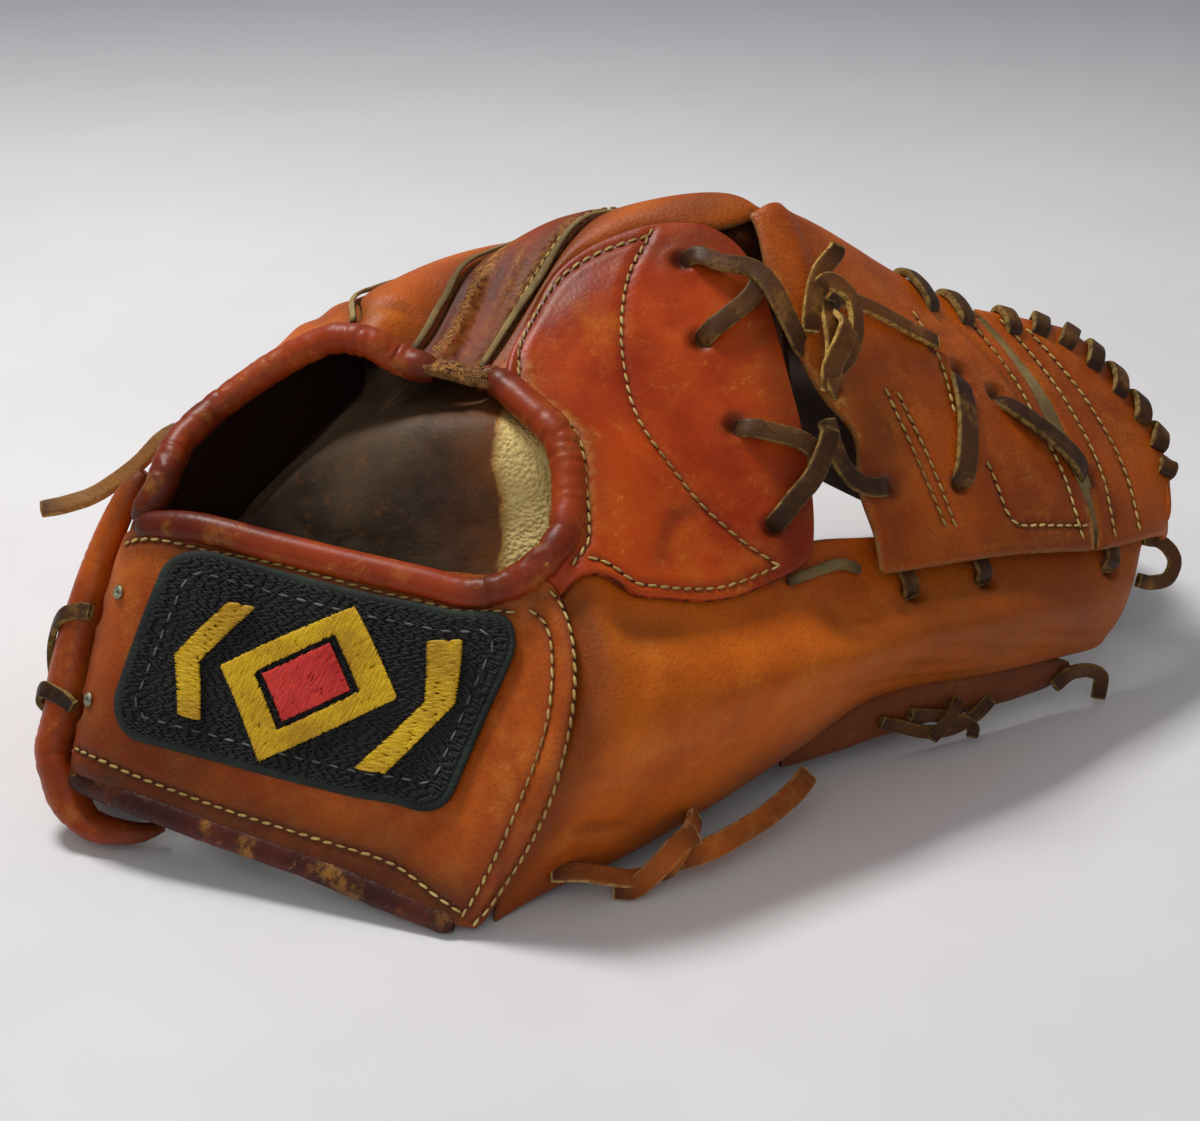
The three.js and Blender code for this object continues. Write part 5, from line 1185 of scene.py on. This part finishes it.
# %% The patch
PATCH_LIFT, MOTIF_LIFT = OVERLAP + 2.5, OVERLAP + 3.7
CORNERS = np.array([[(0.27, 1.64), (0.23, 6.68)], [(0.83, 2.0), (0.95, 6.46)]])  # below, then above
CORNER_RADIUS = 9
FILL_PITCH, SATIN_PITCH = 0.44, 0.34
WRAPS = 700


def patch_spot(x, y):
    """Place on the patch, x to the left and y up from its middle in mm, as row and column of the skin."""
    f, u = np.asarray(x)[..., None] / WIDE + 0.5, np.asarray(y)[..., None] / TALL + 0.5
    low, high = (CORNERS[k, 0] * (1 - f) + CORNERS[k, 1] * f for k in range(2))
    place = low * (1 - u) + high * u
    return place[..., 0], place[..., 1]


def distance_on_skin(start, end):
    s, t = np.linspace(start, end, 60).T
    return run_length(skin.place(s, t, PATCH_LIFT))[-1]


WIDE = (distance_on_skin(*CORNERS[0]) + distance_on_skin(*CORNERS[1])) / 2
TALL = (distance_on_skin(*CORNERS[:, 0]) + distance_on_skin(*CORNERS[:, 1])) / 2


def half_width(y, inset=0.0):
    """Half the width of the patch at a height, where its corners are rounded off."""
    radius = max(CORNER_RADIUS - inset, 1)
    past = np.clip(np.abs(y) - (TALL / 2 - inset - radius), 0, radius)
    return WIDE / 2 - inset - radius + np.sqrt(radius ** 2 - past ** 2)


y = -TALL / 2 * np.cos(np.linspace(0, math.pi, 60))[:, None]
s, t = patch_spot(half_width(y) * np.linspace(-1, 1, 120), y)
cloth = skin.place(s, t, PATCH_LIFT - 0.3)
cloth = cloth + skin.normal(s, t) * (0.15 * hills(cloth, 14, 3))[..., None]
patch = leather_shell("patch_cloth", cloth, cloth - skin.normal(s, t) * 1.6, BLACK_THREAD, {}, bulge=0.8)
finish_piece(patch, "patch_cloth", "patch")
print("patch, mm:", round(WIDE), "x", round(TALL))


def threads(name, lines, lift, longest, radius, finish, slot, *nodes, seed):
    """Lays threads along lines on the skin, none longer than longest. A line is (s, t) to (s, t)."""
    rng = np.random.default_rng(seed)
    spots, ups, ways, halves = [], [], [], []
    for (s0, t0), (s1, t1) in lines:
        a, b = skin.place(s0, t0, lift), skin.place(s1, t1, lift)
        length = np.linalg.norm(b - a)
        if length < 0.3:
            continue
        cuts = np.arange(rng.uniform(0.2, 1) * longest, length, longest)
        cuts = np.r_[0, cuts[(cuts > 0.6) & (cuts < length - 0.6)], length] / length
        for low, high in zip(cuts, cuts[1:]):
            middle = (low + high) / 2
            s, t = s0 + (s1 - s0) * middle, t0 + (t1 - t0) * middle
            spots.append(skin.place(s, t, lift + rng.uniform(-0.06, 0.06)))
            ups.append(skin.normal(s, t))
            ways.append((b - a) / length)
            halves.append((high - low) * length / 2 * 1.08 / 1000)
    made = grown(name, EMBROIDERY, source_mesh(spots, up=ups, along=ways, half=halves),
                 Thread_radius=radius, Thread=finish, Seed=seed)
    print(name, "threads:", len(spots))
    finish_piece(made, slot, *nodes)


fill, rng = [], np.random.default_rng(3)
for y in np.arange(-TALL / 2 + 1.2, TALL / 2 - 1, FILL_PITCH):
    reach = half_width(y, 1.0)
    breaks = np.linspace(-reach, reach, 9) + np.r_[0, rng.uniform(-4, 4, 7), 0]
    ends = np.stack(patch_spot(breaks, np.full(9, y)), -1)
    fill += list(zip(ends[:-1], ends[1:]))
threads("patch_fill", fill, PATCH_LIFT - 0.12, 2.6, 0.00031, BLACK_THREAD, "patch_cloth", seed=3)

# %% The motif in satin stitch
MOTIF = {
    "motif_gold_frame": [(0.55, 2.98, 0.57, 2.98), (0.28, 4.16, 0.84, 4.06), (0.54, 5.26, 0.56, 5.26)],
    "motif_red_diamond": [(0.555, 3.56, 0.565, 3.56), (0.42, 4.14, 0.7, 4.1), (0.55, 4.68, 0.56, 4.68)],
    "motif_gold_chevron_right": [(0.34, 3.0, 0.34, 2.62), (0.55, 2.64, 0.55, 2.26), (0.75, 2.98, 0.75, 2.6)],
    "motif_gold_chevron_left": [(0.36, 5.6, 0.36, 5.22), (0.55, 5.98, 0.55, 5.6), (0.77, 5.58, 0.77, 5.2)],
}
OPENINGS = {"motif_gold_frame": [(0.555, 3.44, 0.565, 3.44), (0.39, 4.14, 0.73, 4.1), (0.55, 4.8, 0.56, 4.8)]}


def straight_list(rows, count):
    """Values on straight lines through a list, at even positions from its start to its end."""
    at = np.linspace(0, len(rows) - 1, count)
    return np.stack([np.interp(at, np.arange(len(rows)), column) for column in np.array(rows).T], -1)


def satin(shape, opening):
    """Threads from one edge of a shape to the other, parted where they cross its opening."""
    edge = run_length(np.array([skin.place(s, t, 0) for s, t, _, _ in shape]))
    holes = straight_list(opening, 60) if opening else None
    lines = []
    for s0, t0, s1, t1 in straight_list(shape, round(edge[-1] / SATIN_PITCH)):
        t = (t0 + t1) / 2
        if opening and holes[0, 1] < t < holes[-1, 1]:
            near = holes[np.abs(holes[:, 1] - t).argmin()]
            lines += [((s0, t0), near[:2]), (near[2:], (s1, t1))]
        else:
            lines.append(((s0, t0), (s1, t1)))
    return lines


for name, shape in MOTIF.items():
    finish, slot = (RED_THREAD, "red_thread") if "red" in name else (GOLD_THREAD, "gold_thread")
    threads(name, satin(shape, OPENINGS.get(name)), MOTIF_LIFT - 0.35, 7.0, 0.00042, finish, slot, name, seed=5)

# %% The overlocked edge and the running stitch
def round_patch(inset, count):
    """Evenly spaced places round the patch, at an inset from its edge."""
    y = -(TALL / 2 - inset) * np.cos(np.linspace(0, math.pi, 400))
    x = half_width(y, inset)
    outline = np.r_[np.c_[x, y], np.c_[-x, y][::-1], [(x[0], y[0])]]
    length = run_length(outline)
    at = np.linspace(0, length[-1], count, endpoint=False)
    return patch_spot(np.interp(at, length, outline[:, 0]), np.interp(at, length, outline[:, 1]))


s, t = round_patch(0.3, WRAPS)
up = skin.normal(s, t)
rim = skin.place(s, t, PATCH_LIFT - 0.75)
ahead = np.roll(rim, -1, axis=0) - np.roll(rim, 1, axis=0)
ahead /= np.linalg.norm(ahead, axis=1, keepdims=True)
inward = np.cross(up, ahead)
inward *= np.sign(((skin.place(*patch_spot(0, 0), PATCH_LIFT) - rim) * inward).sum(1, keepdims=True))
wraps = grown("patch_edge_wraps", EMBROIDERY,
              source_mesh(rim + inward * 0.4, up=up, along=inward + ahead * 0.15, half=np.full(len(rim), 0.0016)),
              Thread_radius=0.0006, Thread=EDGE_THREAD, Seed=2)
finish_piece(wraps, "patch_cloth")
s, t = round_patch(5.2, 500)
running = grown("patch_running_stitch", SEWING, path_mesh([(skin.place(s, t, PATCH_LIFT + 0.1), skin.normal(s, t))]),
                Pitch=0.0042, Thread_length=0.0028, Thread_radius=0.00028, Slant=0.0, Thread=GREY_THREAD)
finish_piece(running, "patch_cloth")
print("wraps on the patch's edge:", len(rim))

# %% [markdown]
# Two small eyelets let sweat out at the strap's left end. Each is a pressed metal ring with a hole,
# turned on a lathe as a profile round its own axis.

# %% Eyelets
metal = Finish("old_metal")
patina = metal.noise(900, 4, 0.7)
metal.set(Base_Color=metal.mix(patina.between(0.4, 0.65), paint(112, 116, 92), paint(168, 170, 138)), Metallic=0.45,
          Roughness=0.35 + patina * 0.25)
metal.bump(patina, 0.0001, 0.4)
PROFILE = [(0.35, 3.7), (0.4, 4.0), (0.8, 4.3), (1.3, 4.3), (1.6, 4.0), (1.65, 3.7)]  # radius and height
TURNS = 24
for name, s, t in (("eyelet_upper", 0.71, 7.02), ("eyelet_lower", 0.31, 7.2)):
    up = skin.normal(s, t)
    side = np.cross(up, (0, 0, 1))
    side /= np.linalg.norm(side)
    points = [skin.place(s, t, h) + (side * math.cos(a) + np.cross(up, side) * math.sin(a)) * r
              for a in np.arange(TURNS) / TURNS * 2 * math.pi for r, h in PROFILE]
    n = len(PROFILE)
    faces = [(k * n + i, k * n + (i + 1) % n, (k + 1) % TURNS * n + (i + 1) % n, (k + 1) % TURNS * n + i)
             for k in range(TURNS) for i in range(n)]
    finish_piece(add_mesh(name + "_ring", points, faces, metal.material), "eyelet_metal", name)
print("eyelets are in place")

# %% [markdown]
# The camera stands where the photographer stood, in front of the wrist and a little above. The
# light is one large soft window from behind on the left, with the pale room as fill, so the
# shadow falls softly to the right and to the front.

# %% Camera, light and floor
camera_data = bpy.data.cameras.new("camera")
camera_data.lens, camera_data.sensor_width = 55.41, 36
camera = bpy.data.objects.new("camera", camera_data)
camera.location, camera.rotation_euler = (-0.01154, -0.4317, 0.2594), (math.radians(63), 0, 0)
bpy.context.scene.collection.objects.link(camera)
bpy.context.scene.camera = camera


def soft_light(name, spot, size, power, colour):
    """A square lamp in metres and watts, turned to the middle of the glove."""
    data = bpy.data.lights.new(name, "AREA")
    data.size, data.energy, data.color = size, power, colour
    lamp = bpy.data.objects.new(name, data)
    lamp.location = spot
    lamp.rotation_euler = (Vector((0, 0, 0.05)) - Vector(spot)).to_track_quat("-Z", "Y").to_euler()
    bpy.context.scene.collection.objects.link(lamp)


soft_light("window", (-0.42, 0.34, 1.1), 0.28, 10.2, (1.0, 0.985, 0.96))
soft_light("room", (-0.1, -1.0, 0.8), 1.0, 2.1, (1.0, 0.97, 0.93))
world = bpy.data.worlds.new("room_light")
world.use_nodes = True
world.node_tree.nodes["Background"].inputs["Color"].default_value = (0.96, 0.97, 1.0, 1)
world.node_tree.nodes["Background"].inputs["Strength"].default_value = 0.26
bpy.context.scene.world = world
bpy.context.scene.view_settings.view_transform = "Standard"

table = Finish("pale_table_far_shade")
mottle = table.noise(6, 4, 0.6)
near = table.mix(mottle.between(0.3, 0.7), paint(229, 228, 230), paint(236, 235, 237))
# Farther back the table turns greyer: painted shade for the light's fall-off.
far = Value(table, table.node("ShaderNodeSeparateXYZ", None, table.object).outputs["Y"]).between(0.1, 1.3)
table.set(Base_Color=table.mix(far, near, paint(194, 196, 202)), Roughness=0.7)
floor = add_mesh("floor", np.array([(-3000, -1500, 0), (3000, -1500, 0), (3000, 4000, 0), (-3000, 4000, 0)]) - SHIFT,
                 [(0, 1, 2, 3)], table.material, smooth=False)
